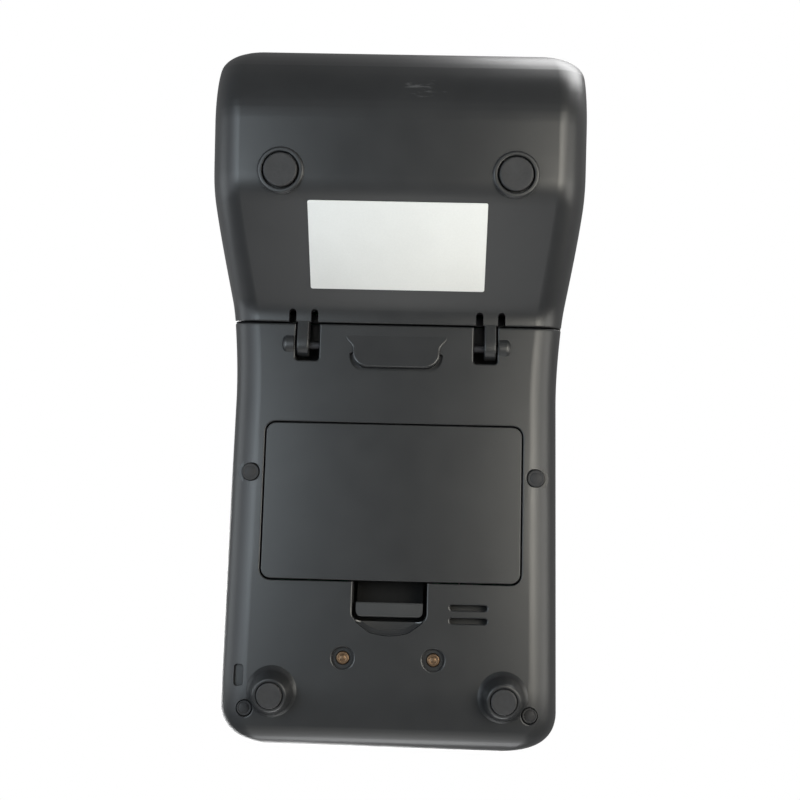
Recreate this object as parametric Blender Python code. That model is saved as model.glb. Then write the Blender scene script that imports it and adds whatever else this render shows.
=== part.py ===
# A handheld card payment terminal with a receipt printer, standing on its four feet.
# The user sits at -Y. The printer's hump is at +Y, and +X is to the user's right.
# The keypad half is a slab that slopes up towards the hump, so its pieces are placed in slab axes:
# x across, s up the slope from the low end of the underside, h square to the underside, into the casing.

import math

import bmesh
import bpy
from mathutils import Matrix, Vector

MM = 0.001

# Clearances and shared sizes
GAP = 0.3 * MM
OVERRUN = 2.0 * MM
WALL = 2.0 * MM
RUNNING_CLEARANCE = 0.1 * MM

# The body as a whole
WAIST_PAST_SCREWS = 4.7 * MM
LOW_END_SPREAD = 0.65 * MM
HUMP_SPARE_WIDTH = 22.7 * MM
SLAB_TILT = math.radians(10)
SLAB_THICKNESS = 21.9 * MM
PARTING_HEIGHT = 9.6 * MM
LOW_END_LIFT = 2.8 * MM
HUMP_LIFT = 1.2 * MM
HUMP_SLOPE = math.radians(36.3)
SLOPE_FOOT_FROM_ROLL = -7.9 * MM
HUMP_CURVE_FROM_ROLL = 6.5 * MM
FAR_END_FROM_ROLL = 25.0 * MM
WIDEST_LIFT = 27.0 * MM
FLARE_START_FROM_ROLL = -51.7 * MM
FLARE_END_FROM_ROLL = -2.2 * MM
STEP_FOOT_FROM_ROLL = -14.0 * MM
STEP_HEAD_FROM_ROLL = -6.0 * MM
STEP_HEAD_LIFT = 52.5 * MM
FAR_TOP_LIFT = 55.5 * MM
SEAM_FROM_ROLL = -35.05 * MM

# Roundings of the body
LOW_PLAN_RADIUS = 7.5 * MM
FAR_PLAN_RADIUS = 6.0 * MM
LOW_END_RADIUS = 5.0 * MM
TOP_END_RADIUS = 4.5 * MM
WAIST_EDGE_WIDTH = 6.5 * MM
HUMP_EDGE_WIDTH = 7.0 * MM
WAIST_EDGE_HEIGHT = 8.0 * MM
HUMP_EDGE_HEIGHT = 13.0 * MM
TOP_EDGE_WIDTH = 5.0 * MM
TOP_EDGE_HEIGHT = 5.0 * MM
SEAM_FILLET = 7.0 * MM
FOOT_FILLET = 10.0 * MM
STEP_FILLET = 6.0 * MM

# Hinge of the printer cover
HINGE_BACK = 4.7 * MM
HINGE_DEPTH = 1.7 * MM
KNUCKLE_RADIUS = 2.5 * MM
ARM_INNER_X = 19.2 * MM
ARM_WIDTH = 2.6 * MM
ARM_THICKNESS = 2.9 * MM
ARM_ROOT = 3.0 * MM
BARREL_LENGTH = 2.9 * MM
PIN_RADIUS = 1.0 * MM
POCKET_INNER_X = 16.9 * MM
POCKET_LENGTH = 7.2 * MM
POCKET_DEPTH = 5.4 * MM
POCKET_WALL = 1.2 * MM
SLIT_WIDTH = 1.6 * MM
SLIT_LENGTH = 3.0 * MM
SLIT_DEPTH = 4.5 * MM
COVER_EDGE_WALL = 1.8 * MM

# Ramp that the open cover leans on
RAMP_TOP_BACK = 2.6 * MM
RAMP_LENGTH = 7.0 * MM
RAMP_TOP_WIDTH = 22.2 * MM
RAMP_END_WIDTH = 13.6 * MM
RAMP_HEIGHT = 0.9 * MM
RAMP_GROOVE = 0.8 * MM

# Feet
UPPER_FOOT_X = 24.35 * MM
UPPER_FOOT_FROM_ROLL = -4.35 * MM
UPPER_PAD_RADIUS = 3.5 * MM
UPPER_RING_RADIUS = 4.8 * MM
UPPER_RING_LIFT = 0.7 * MM
PAD_THICKNESS = 1.9 * MM
LOWER_FOOT_SIDE_INSET = 11.2 * MM
LOWER_FOOT_INSET = 11.85 * MM
LOWER_PAD_RADIUS = 2.7 * MM
LEG_TIP_RADIUS = 3.6 * MM
LEG_BASE_RADIUS = 4.9 * MM
LEG_TIP_LIFT = 0.5 * MM

# Screws and their plugs
SIDE_SCREW_PAST_TRAY = 2.4 * MM
SIDE_SCREW_S = 58.3 * MM
CORNER_SCREW_INSET = 5.55 * MM
CORNER_SCREW_S = 8.4 * MM
SIDE_PLUG_RADIUS = 1.9 * MM
CORNER_PLUG_RADIUS = 1.65 * MM
PLUG_LENGTH = 1.6 * MM
PLUG_RECESS = 0.45 * MM
SCREW_HEAD_LENGTH = 1.3 * MM
SCREW_SHANK_RADIUS = 0.7 * MM
SCREW_LENGTH = 11.0 * MM
SCREW_SEAT_DEPTH = 4.2 * MM
BOSS_RADIUS = 2.7 * MM
FRONT_BOSS_RADIUS = 2.1 * MM
CORNER_BOSS_DROP = 1.5 * MM

# Battery, its cover and its latch
BATTERY_COVER_SPARE = 0.9 * MM
BATTERY_COVER_LOW_S = 35.6 * MM
BATTERY_COVER_HIGH_S = 69.2 * MM
BATTERY_COVER_CORNER = 2.1 * MM
BATTERY_COVER_PIVOT = 1.0 * MM
TONGUE_LENGTH = 1.5 * MM
TONGUE_THICKNESS = 1.0 * MM
TONGUE_WIDTH = 6.0 * MM
TONGUE_X = 17.0 * MM
COVER_RIB_LENGTH = 1.0 * MM
COVER_RIB_HEIGHT = 3.0 * MM
TRAY_CLEARANCE = 0.9 * MM
TRAY_LOW_S = 39.0 * MM
TRAY_HIGH_S = 71.4 * MM
TRAY_DEPTH = 12.0 * MM
TRAY_WALL = 1.2 * MM
BATTERY_WIDTH = 52.6 * MM
BATTERY_LENGTH = 26.2 * MM
BATTERY_CORNER = 2.4 * MM
LATCH_POCKET_WIDTH = 15.8 * MM
LATCH_POCKET_LOW_S = 27.1 * MM
LATCH_POCKET_DEPTH = 6.6 * MM
LATCH_POCKET_CORNER = 1.8 * MM
LATCH_WIDTH = 14.2 * MM
LATCH_BAR_LOW_S = 28.0 * MM
LATCH_BAR_HIGH_S = 31.1 * MM
LATCH_BAR_THICKNESS = 2.0 * MM
LATCH_SPRING_THICKNESS = 0.6 * MM
LATCH_TRAVEL = 1.2 * MM
SCOOP_WIDTH = 12.4 * MM
SCOOP_LENGTH = 4.6 * MM
SCOOP_DEPTH = 1.3 * MM

# Speaker, charging contacts and lanyard slot
SPEAKER_X = -16.8 * MM
SLOT_LENGTH = 7.9 * MM
SLOT_WIDTH = 1.2 * MM
SLOT_LOW_S = 27.6 * MM
SLOT_PITCH = 2.75 * MM
SPEAKER_RADIUS = 6.6 * MM
SPEAKER_THICKNESS = 3.0 * MM
CONTACT_X = 9.57 * MM
CONTACT_S = 19.3 * MM
CONTACT_RADIUS = 1.4 * MM
WELL_RADIUS = 2.3 * MM
WELL_DEPTH = 1.0 * MM
CONTACT_HEAD = 0.5 * MM
CONTACT_LENGTH = 5.0 * MM
LANYARD_INSET = 4.0 * MM
LANYARD_S = 15.2 * MM
LANYARD_WIDTH = 2.05 * MM
LANYARD_LENGTH = 4.6 * MM

# Keypad
KEY_COLUMNS = 3
KEY_NAMES = (
    ("cancel", "clear", "enter"),
    ("star", "0", "hash"),
    ("7", "8", "9"),
    ("4", "5", "6"),
    ("1", "2", "3"),
)
KEY_PITCH_X = 18.6 * MM
KEY_PITCH_S = 10.6 * MM
KEY_FIRST_S = 13.6 * MM
KEY_WIDTH = 15.4 * MM
KEY_LENGTH = 7.4 * MM
KEY_CORNER = 2.2 * MM
KEY_PROUD = 1.0 * MM
KEY_BEVEL = 0.5 * MM
KEY_FLANGE = 0.8 * MM
KEY_FLANGE_THICKNESS = 0.7 * MM
KEY_TRAVEL = 1.2 * MM
MAT_THICKNESS = 1.0 * MM
MAT_MARGIN = 1.6 * MM
BOARD_THICKNESS = 1.6 * MM
BOARD_PAST_KEYS = 0.1 * MM
KEYPAD_BOARD_LOW_S = 5.8 * MM
KEYPAD_BOARD_HIGH_S = 66.2 * MM
POST_RADIUS = 1.3 * MM
POST_INSET = 1.6 * MM

# Display
LENS_INSET = 5.5 * MM
LENS_LENGTH = 42.0 * MM
LENS_PAST_KEYS = 8.1 * MM
LENS_THICKNESS = 0.9 * MM
LENS_CORNER = 2.5 * MM
WINDOW_MARGIN = 3.5 * MM
MODULE_MARGIN = 1.8 * MM
MODULE_THICKNESS = 3.2 * MM
ANTENNA_WIDTH = 1.6 * MM
ANTENNA_THICKNESS = 0.6 * MM

# Card reader
CARD_WIDTH = 54.0 * MM
READER_SIDE = 2.3 * MM
READER_LOW_S = 12.6 * MM
READER_HIGH_S = 35.6 * MM
READER_THICKNESS = 4.0 * MM
CARD_SLOT_CLEARANCE = 0.8 * MM
CARD_CHANNEL_CLEARANCE = 0.3 * MM
CARD_CHANNEL_HEIGHT = 1.2 * MM
CARD_SLOT_HEIGHT = 1.7 * MM

# Paper compartment
ROLL_RADIUS = 18.0 * MM
ROLL_LENGTH = 57.0 * MM
ROLL_BORE_RADIUS = 6.2 * MM
ROLL_PAST_LENS = 16.867 * MM
BUCKET_CLEARANCE = 1.0 * MM
BUCKET_WALL = 1.2 * MM
BUCKET_START = math.radians(70)
BUCKET_END = math.radians(180)
RIB_X = 20.0 * MM
RIB_WIDTH = 1.6 * MM
RIB_START = math.radians(140)

# Platen, printer and gears
PLATEN_FROM_ROLL = 15.0 * MM
PLATEN_ABOVE_ROLL = 20.5 * MM
PLATEN_RADIUS = 4.0 * MM
PAPER_CLEARANCE = 0.5 * MM
SHAFT_RADIUS = 1.5 * MM
GEAR_MODULE = 0.4 * MM
GEAR_THICKNESS = 1.5 * MM
GEAR_CLEARANCE = 0.4 * MM
PLATEN_TEETH = 20
IDLER_TEETH = 16
PINION_TEETH = 12
IDLER_DIRECTION = math.radians(125)
PINION_DIRECTION = math.radians(200)
MESH_CLEARANCE = 0.05 * MM
IDLER_PIN_RADIUS = 1.0 * MM
STAND_RADIUS = 0.8 * MM
MOTOR_RADIUS = 4.4 * MM
MOTOR_LENGTH = 3.9 * MM
MOTOR_FLANGE_THICKNESS = 0.8 * MM
MOTOR_FLANGE_REACH = 7.0 * MM
MOTOR_SHAFT_RADIUS = 0.7 * MM
FRAME_PLATE_THICKNESS = 0.8 * MM
FRAME_BACK = 14.4 * MM
FRAME_FRONT = 2.8 * MM
FRAME_RISE = 8.3 * MM
FRAME_LOW_RISE = 1.2 * MM
BEAM_DEPTH = 3.4 * MM
HEAD_THICKNESS = 2.6 * MM
HEAD_LOW_DROP = 1.1 * MM
HEAD_RISE = 5.6 * MM
HEAD_SHORTFALL = 3.0 * MM
EAR_THICKNESS = 1.2 * MM
EAR_RADIUS = 3.4 * MM
BUSHING_RADIUS = 2.3 * MM
SLOT_BACK = 4.2 * MM
LIP_BACK = 2.0 * MM
LIP_SPARE_WIDTH = 1.0 * MM
TEAR_BAR_THICKNESS = 0.6 * MM
TEAR_BAR_HEIGHT = 2.4 * MM
TEAR_TOOTH = 0.6 * MM
TEAR_TOOTH_PITCH = 1.9 * MM

# Label
LABEL_WIDTH = 37.6 * MM
LABEL_HEIGHT = 21.6 * MM
LABEL_THICKNESS = 0.2 * MM
LABEL_CORNER = 1.2 * MM
LABEL_UP_SLOPE = 13.6 * MM
LABEL_SEAT = 0.05 * MM

# How finely curves are cut
END_STEPS = 5
HUMP_STEPS = 8
EDGE_STEPS = 5
FILLET_STEPS = 3
CORNER_STEPS = 3
ROUND_SIDES = 20
SMALL_SIDES = 12
ROLL_SIDES = 40

KEY_ROWS = len(KEY_NAMES)
LENS_LOW_S = KEY_FIRST_S + (KEY_ROWS - 1) * KEY_PITCH_S + KEY_LENGTH / 2 + LENS_PAST_KEYS
KEYPAD_WIDTH = (KEY_COLUMNS - 1) * KEY_PITCH_X + KEY_WIDTH + 2 * KEY_FLANGE
KEYPAD_BOARD_WIDTH = KEYPAD_WIDTH + 2 * BOARD_PAST_KEYS
READER_WIDTH = CARD_WIDTH + 2 * READER_SIDE
CARD_SLOT_WIDTH = CARD_WIDTH + 2 * CARD_SLOT_CLEARANCE
CARD_CHANNEL_WIDTH = CARD_WIDTH + 2 * CARD_CHANNEL_CLEARANCE
ROLL_REACH = (LENS_LOW_S + LENS_LENGTH) * math.cos(SLAB_TILT) + ROLL_PAST_LENS
BODY_LENGTH = ROLL_REACH + FAR_END_FROM_ROLL
LOW_END_Y = -BODY_LENGTH / 2
FAR_END_Y = BODY_LENGTH / 2
ROLL_Y = LOW_END_Y + ROLL_REACH
SEAM_Y = ROLL_Y + SEAM_FROM_ROLL
SLOPE_FOOT_Y = ROLL_Y + SLOPE_FOOT_FROM_ROLL
HUMP_CURVE_Y = ROLL_Y + HUMP_CURVE_FROM_ROLL
FLARE_START_Y = ROLL_Y + FLARE_START_FROM_ROLL
FLARE_END_Y = ROLL_Y + FLARE_END_FROM_ROLL
STEP_FOOT_Y = ROLL_Y + STEP_FOOT_FROM_ROLL
STEP_HEAD_Y = ROLL_Y + STEP_HEAD_FROM_ROLL
UPPER_FOOT_Y = ROLL_Y + UPPER_FOOT_FROM_ROLL
LOWER_FOOT_Y = LOW_END_Y + LOWER_FOOT_INSET
TRAY_WIDTH = BATTERY_WIDTH + 2 * TRAY_CLEARANCE
BATTERY_COVER_WIDTH = TRAY_WIDTH + BATTERY_COVER_SPARE
SIDE_SCREW_X = TRAY_WIDTH / 2 + TRAY_WALL + SIDE_SCREW_PAST_TRAY
WAIST_WIDTH = 2 * (SIDE_SCREW_X + WAIST_PAST_SCREWS)
LENS_WIDTH = WAIST_WIDTH - 2 * LENS_INSET
MAIN_BOARD_WIDTH = LENS_WIDTH
CORNER_SCREW_X = WAIST_WIDTH / 2 - CORNER_SCREW_INSET
LANYARD_X = WAIST_WIDTH / 2 - LANYARD_INSET
LOWER_FOOT_X = WAIST_WIDTH / 2 - LOWER_FOOT_SIDE_INSET
HUMP_WIDTH = ROLL_LENGTH + HUMP_SPARE_WIDTH
ROLL_LIFT = HUMP_LIFT + WALL + GAP + ROLL_RADIUS
PLATEN_Y = ROLL_Y + PLATEN_FROM_ROLL
PLATEN_LIFT = ROLL_LIFT + PLATEN_ABOVE_ROLL
PLATEN_LENGTH = ROLL_LENGTH - 2 * GAP
FRAME_INNER_X = ROLL_LENGTH / 2 + PAPER_CLEARANCE
GEAR_PLANE_X = FRAME_INNER_X + FRAME_PLATE_THICKNESS + GEAR_CLEARANCE
FRAME_LOW_Y = PLATEN_Y - FRAME_BACK
FRAME_HIGH_Y = PLATEN_Y - FRAME_FRONT
FRAME_TOP_LIFT = PLATEN_LIFT + FRAME_RISE
FRAME_LOW_LIFT = PLATEN_LIFT + FRAME_LOW_RISE
HEAD_LENGTH = ROLL_LENGTH - HEAD_SHORTFALL
SLOT_START_Y = PLATEN_Y - SLOT_BACK
LIP_START_Y = PLATEN_Y - LIP_BACK
LIP_WIDTH = ROLL_LENGTH + LIP_SPARE_WIDTH
SLAB_AXES = Matrix.Translation((0, LOW_END_Y, LOW_END_LIFT)) @ Matrix.Rotation(SLAB_TILT, 4, "X")

# Colours, roughness and metallic value of each finish
CHARCOAL = ((0.045, 0.047, 0.05), 0.5, 0.0)
DARK_RUBBER = ((0.012, 0.012, 0.013), 0.7, 0.0)
STEEL = ((0.6, 0.6, 0.62), 0.3, 1.0)
GILT = ((0.8, 0.45, 0.2), 0.3, 1.0)
BOARD_GREEN = ((0.02, 0.16, 0.07), 0.5, 0.0)
BLACK_PLASTIC = ((0.02, 0.02, 0.022), 0.4, 0.0)
LABEL_WHITE = ((0.82, 0.82, 0.8), 0.5, 0.0)
PAPER_WHITE = ((0.88, 0.88, 0.85), 0.8, 0.0)
LENS_BLACK = ((0.01, 0.01, 0.012), 0.1, 0.0)
KEY_GREY = ((0.5, 0.5, 0.52), 0.5, 0.0)
NYLON = ((0.75, 0.75, 0.7), 0.45, 0.0)
KEY_COLOURS = {
    "cancel": ((0.55, 0.03, 0.03), 0.5, 0.0),
    "clear": ((0.75, 0.5, 0.03), 0.5, 0.0),
    "enter": ((0.03, 0.35, 0.08), 0.5, 0.0),
}


# Meshes from outlines

def loft(rings):
    """A closed skin through rings of equal count, capped at both ends."""
    mesh = bmesh.new()
    rows = [[mesh.verts.new(point) for point in ring] for ring in rings]
    for low, high in zip(rows, rows[1:]):
        for i in range(len(low)):
            j = (i + 1) % len(low)
            mesh.faces.new((low[i], low[j], high[j], high[i]))
    mesh.faces.new(rows[0])
    mesh.faces.new(rows[-1])
    bmesh.ops.recalc_face_normals(mesh, faces=mesh.faces)
    return mesh


def along_x(outline, low, high):
    """An outline of (y, z) or (s, h) points, pushed along X."""
    return loft([[(x, a, b) for a, b in outline] for x in (low, high)])


def along_h(outline, low, high):
    """An outline of (x, s) points, pushed along h."""
    return loft([[(a, b, h) for a, b in outline] for h in (low, high)])


def circle(radius, centre=(0, 0), sides=ROUND_SIDES, start=0.0, sweep=2 * math.pi):
    """Points round a full circle, or along an arc when sweep is less than a turn."""
    steps = sides if sweep == 2 * math.pi else sides - 1
    return [
        (
            centre[0] + radius * math.cos(start + sweep * i / steps),
            centre[1] + radius * math.sin(start + sweep * i / steps),
        )
        for i in range(sides)
    ]


def rounded(width, length, corner, centre=(0, 0), steps=CORNER_STEPS):
    """A rectangle with round corners, as (x, s) points."""
    points = []
    for quarter, (side_x, side_s) in enumerate(((1, 1), (-1, 1), (-1, -1), (1, -1))):
        middle = (
            centre[0] + side_x * (width / 2 - corner),
            centre[1] + side_s * (length / 2 - corner),
        )
        points += circle(corner, middle, steps, quarter * math.pi / 2, math.pi / 2)
    return points


def box(width, low_s, high_s, low_h, high_h, x=0.0):
    """A plain block in slab axes, centred at x."""
    outline = [
        (x - width / 2, low_s),
        (x + width / 2, low_s),
        (x + width / 2, high_s),
        (x - width / 2, high_s),
    ]
    return along_h(outline, low_h, high_h)


def turned(profile, centre=(0, 0), sides=ROUND_SIDES):
    """A solid of revolution about an upright axis, from (radius, height) pairs, low to high."""
    return loft([[(x, y, height) for x, y in circle(radius, centre, sides)] for radius, height in profile])


def turned_x(profile, centre, sides=ROUND_SIDES):
    """A solid of revolution about an axis along X, from (radius, x) pairs."""
    return loft([[(x, a, b) for a, b in circle(radius, centre, sides)] for radius, x in profile])


def pipe_x(outer, inner, low, high, centre, sides=ROUND_SIDES):
    """A tube along X."""
    mesh = bmesh.new()
    rows = []
    for radius, x in ((outer, low), (outer, high), (inner, high), (inner, low)):
        rows.append([mesh.verts.new((x, a, b)) for a, b in circle(radius, centre, sides)])
    for near, far in zip(rows, rows[1:] + rows[:1]):
        for i in range(sides):
            j = (i + 1) % sides
            mesh.faces.new((near[i], near[j], far[j], far[i]))
    bmesh.ops.recalc_face_normals(mesh, faces=mesh.faces)
    return mesh


def toothed(teeth, bore, low, high, centre, phase):
    """A spur gear along X with straight-sided teeth; one tooth points along phase."""
    pitch_radius = GEAR_MODULE * teeth / 2
    root, tip = pitch_radius - 1.25 * GEAR_MODULE, pitch_radius + GEAR_MODULE
    root_half_share, tip_half_share = 0.3, 0.12
    outer = []
    for tooth in range(teeth):
        for radius, share in (
            (root, -root_half_share),
            (tip, -tip_half_share),
            (tip, tip_half_share),
            (root, root_half_share),
        ):
            angle = phase + 2 * math.pi * (tooth + share) / teeth
            outer.append((centre[0] + radius * math.cos(angle), centre[1] + radius * math.sin(angle)))
    hole = circle(bore, centre, len(outer), phase - 2 * math.pi * root_half_share / teeth)
    mesh = bmesh.new()
    rows = []
    for outline, x in ((outer, low), (outer, high), (hole, high), (hole, low)):
        rows.append([mesh.verts.new((x, a, b)) for a, b in outline])
    for near, far in zip(rows, rows[1:] + rows[:1]):
        for i in range(len(near)):
            j = (i + 1) % len(near)
            mesh.faces.new((near[i], near[j], far[j], far[i]))
    bmesh.ops.recalc_face_normals(mesh, faces=mesh.faces)
    return mesh


def gathered(parts):
    """Several separate meshes as one."""
    whole = bmesh.new()
    for part in parts:
        data = bpy.data.meshes.new("part")
        part.to_mesh(data)
        part.free()
        whole.from_mesh(data)
        bpy.data.meshes.remove(data)
    return whole


def mirrored(build):
    """The meshes that build(side) makes for the right side (1) and the left side (-1)."""
    return [build(1), build(-1)]


# Objects and how they join

def finish(name, look):
    material = bpy.data.materials.new(name)
    material.use_nodes = True
    shader = material.node_tree.nodes["Principled BSDF"]
    colour, roughness, metallic = look
    shader.inputs["Base Color"].default_value = (*colour, 1.0)
    shader.inputs["Roughness"].default_value = roughness
    shader.inputs["Metallic"].default_value = metallic
    material.diffuse_color = (*colour, 1.0)
    return material


def pivot(name, place, tilted=False):
    """An empty on a joint's axis, square to the table or to the slab."""
    empty = bpy.data.objects.new(name, None)
    empty.location = place
    empty.rotation_euler = (SLAB_TILT if tilted else 0.0, 0.0, 0.0)
    bpy.context.scene.collection.objects.link(empty)
    return empty


def solid(name, mesh, look, carrier=None, slab=False, smooth=True):
    """An object whose mesh is given in world axes, or in slab axes when slab is set, carried by an empty."""
    if slab:
        mesh.transform(SLAB_AXES)
    if carrier:
        turn = Matrix.Rotation(carrier.rotation_euler.x, 4, "X")
        mesh.transform((Matrix.Translation(carrier.location) @ turn).inverted())
    data = bpy.data.meshes.new(name)
    mesh.to_mesh(data)
    mesh.free()
    obj = bpy.data.objects.new(name, data)
    obj.parent = carrier
    bpy.context.scene.collection.objects.link(obj)
    if look:
        data.materials.append(finish(name, look))
    if smooth:
        data.shade_smooth()
        data.set_sharp_from_angle(angle=math.radians(35))
    return obj


def change(target, operation, name, mesh, slab=False):
    """A Boolean of target with a hidden tool."""
    tool = solid(name, mesh, None, slab=slab, smooth=False)
    tool.hide_render = True
    tool.display_type = "WIRE"
    modifier = target.modifiers.new(name, "BOOLEAN")
    modifier.operation = operation
    modifier.object = tool
    modifier.solver = "EXACT"


# The outer form

def corner_at(first, second):
    """Where two lines of (slope, height at y = 0) meet."""
    y = (second[1] - first[1]) / (first[0] - second[0])
    return y, first[0] * y + first[1]


def folded_line(lines, radii, side, inset):
    """A run of straight lines with filleted corners, moved by inset into the body.
    side is 1 for the underside and -1 for the top. It gives the height at y, and where the fillets lie."""
    moved = [(slope, height + side * inset * math.hypot(1, slope)) for slope, height in lines]
    arcs = []
    for first, second, radius in zip(moved, moved[1:], radii):
        peak = 1 if first[0] > second[0] else -1
        bend = max(radius + side * peak * inset, RUNNING_CLEARANCE)
        shifted = [(slope, height - peak * bend * math.hypot(1, slope)) for slope, height in (first, second)]
        middle = corner_at(*shifted)
        ends = [middle[0] - peak * bend * math.sin(math.atan(slope)) for slope, _ in (first, second)]
        arcs.append((ends[0], ends[1], middle, bend, peak))

    def height(y):
        for i, (start, end, middle, bend, peak) in enumerate(arcs):
            if y < start:
                return moved[i][0] * y + moved[i][1]
            if y <= end:
                return middle[1] + peak * math.sqrt(max(bend**2 - (y - middle[0]) ** 2, 0))
        return moved[-1][0] * y + moved[-1][1]

    return height, [(start, end) for start, end, *_ in arcs]


def underside(inset):
    tilt, drop = math.tan(SLAB_TILT), -math.tan(HUMP_SLOPE)
    lines = [
        (tilt, LOW_END_LIFT - tilt * LOW_END_Y),
        (drop, HUMP_LIFT - drop * SLOPE_FOOT_Y),
        (0.0, HUMP_LIFT),
    ]
    folded, arcs = folded_line(lines, (SEAM_FILLET, FOOT_FILLET), 1, inset)
    reach, rise = FAR_END_Y - HUMP_CURVE_Y - inset, WIDEST_LIFT - HUMP_LIFT - inset

    def height(y):
        if y <= HUMP_CURVE_Y:
            return folded(y)
        share = min((y - HUMP_CURVE_Y) / reach, 1.0)
        return WIDEST_LIFT - rise * math.sqrt(1 - share**2)

    return height, arcs


def topside(inset):
    tilt = math.tan(SLAB_TILT)
    start = LOW_END_LIFT + SLAB_THICKNESS / math.cos(SLAB_TILT) - tilt * LOW_END_Y
    step_foot_lift = start + tilt * STEP_FOOT_Y
    rise = (STEP_HEAD_LIFT - step_foot_lift) / (STEP_HEAD_Y - STEP_FOOT_Y)
    roof = (FAR_TOP_LIFT - STEP_HEAD_LIFT) / (FAR_END_Y - STEP_HEAD_Y)
    lines = [
        (tilt, start),
        (rise, step_foot_lift - rise * STEP_FOOT_Y),
        (roof, STEP_HEAD_LIFT - roof * STEP_HEAD_Y),
    ]
    return folded_line(lines, (STEP_FILLET, STEP_FILLET), -1, inset)


def end_round(distance, radius):
    """How far a quarter round of this radius stands back, at a distance from the end."""
    short = radius - min(max(distance, 0.0), radius)
    return radius - math.sqrt(radius**2 - short**2)


def flare(y):
    """0 along the waist, 1 along the hump, smooth between them."""
    share = min(max((y - FLARE_START_Y) / (FLARE_END_Y - FLARE_START_Y), 0.0), 1.0)
    return share**2 * (3 - 2 * share)


def half_width(y):
    """Half the body's width at y; below the flare it grows a little towards the low end."""
    below = min(max((FLARE_START_Y - y) / (FLARE_START_Y - LOW_END_Y), 0.0), 1.0)
    return (WAIST_WIDTH + (HUMP_WIDTH - WAIST_WIDTH) * flare(y)) / 2 + LOW_END_SPREAD * below


def section(y, inset, low_line, high_line):
    """The body's outline across X at y, as points that run once round."""
    from_low, from_far = y - LOW_END_Y - inset, FAR_END_Y - inset - y
    half = half_width(y) - inset
    half -= end_round(from_low, LOW_PLAN_RADIUS - inset) + end_round(from_far, FAR_PLAN_RADIUS - inset)
    low = low_line(y) + end_round(from_low, LOW_END_RADIUS - inset)
    high = high_line(y) - end_round(from_low, TOP_END_RADIUS - inset) - end_round(from_far, TOP_END_RADIUS - inset)
    edge_width = WAIST_EDGE_WIDTH + (HUMP_EDGE_WIDTH - WAIST_EDGE_WIDTH) * flare(y) - inset
    edge_height = WAIST_EDGE_HEIGHT + (HUMP_EDGE_HEIGHT - WAIST_EDGE_HEIGHT) * flare(y) - inset
    top_width, top_height = TOP_EDGE_WIDTH - inset, TOP_EDGE_HEIGHT - inset
    most_share = 0.95
    squeeze = min(1.0, most_share * (high - low) / (edge_height + top_height))
    edge_height, top_height = edge_height * squeeze, top_height * squeeze
    right = []
    for i in range(EDGE_STEPS + 1):
        turn = math.pi / 2 * i / EDGE_STEPS
        right.append((half - edge_width * (1 - math.sin(turn)), low + edge_height * (1 - math.cos(turn))))
    for i in range(EDGE_STEPS + 1):
        turn = math.pi / 2 * i / EDGE_STEPS
        right.append((half - top_width * (1 - math.cos(turn)), high - top_height * (1 - math.sin(turn))))
    left = [(-x, z) for x, z in reversed(right)]
    return [(x, y, z) for x, z in right + left]


def body_loft(low_y, high_y, inset):
    """The body's skin between two stations, moved inwards by inset."""
    low_line, low_arcs = underside(inset)
    high_line, high_arcs = topside(inset)
    stations = {low_y, high_y}
    for radius, end, way, steps in (
        (LOW_PLAN_RADIUS, LOW_END_Y, 1, END_STEPS),
        (LOW_END_RADIUS, LOW_END_Y, 1, END_STEPS),
        (FAR_PLAN_RADIUS, FAR_END_Y, -1, END_STEPS),
        (FAR_END_Y - HUMP_CURVE_Y, FAR_END_Y, -1, HUMP_STEPS),
    ):
        for i in range(steps + 1):
            away = (radius - inset) * (1 - math.cos(math.pi / 2 * i / steps))
            stations.add(end + way * (inset + away))
    for start, end in low_arcs + high_arcs:
        for i in range(FILLET_STEPS + 1):
            stations.add(start + (end - start) * i / FILLET_STEPS)
    flare_steps = 7
    for i in range(flare_steps + 1):
        stations.add(FLARE_START_Y + (FLARE_END_Y - FLARE_START_Y) * i / flare_steps)
    kept = []
    least_step = 1.2 * GAP
    for y in sorted(station for station in stations if low_y <= station <= high_y):
        if y in (low_y, high_y) or (y - low_y > least_step and high_y - y > least_step):
            if not kept or y - kept[-1] > least_step or y == high_y:
                kept.append(y)
    return loft([section(y, inset, low_line, high_line) for y in kept])


def slab_s(y):
    """How far up the slope a point of the underside at y lies."""
    return (y - LOW_END_Y) / math.cos(SLAB_TILT)


SEAM_S = slab_s(SEAM_Y)
HINGE_S = SEAM_S - HINGE_BACK
HINGE_PLACE = SLAB_AXES @ Vector((0, HINGE_S, HINGE_DEPTH))
HALL_WIDTH = HUMP_WIDTH + 2 * OVERRUN
CUT_TOP = FAR_TOP_LIFT + OVERRUN


def above_parting(clearance):
    """Everything above the parting plane, as a block in slab axes."""
    low_s, high_s = -SLAB_THICKNESS, BODY_LENGTH + SLAB_THICKNESS
    return box(HALL_WIDTH, low_s, high_s, PARTING_HEIGHT + clearance, PARTING_HEIGHT + CUT_TOP)


def below_parting(clearance):
    low_s, high_s = -SLAB_THICKNESS, BODY_LENGTH + SLAB_THICKNESS
    return box(HALL_WIDTH, low_s, high_s, PARTING_HEIGHT - CUT_TOP, PARTING_HEIGHT + clearance)


# Rear housing

SCREWS = (
    ("side_right", SIDE_SCREW_X, SIDE_SCREW_S, SIDE_PLUG_RADIUS),
    ("side_left", -SIDE_SCREW_X, SIDE_SCREW_S, SIDE_PLUG_RADIUS),
    ("corner_right", CORNER_SCREW_X, CORNER_SCREW_S, CORNER_PLUG_RADIUS),
    ("corner_left", -CORNER_SCREW_X, CORNER_SCREW_S, CORNER_PLUG_RADIUS),
)
POCKET_OUTER_X = ARM_INNER_X + ARM_WIDTH + GAP


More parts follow.
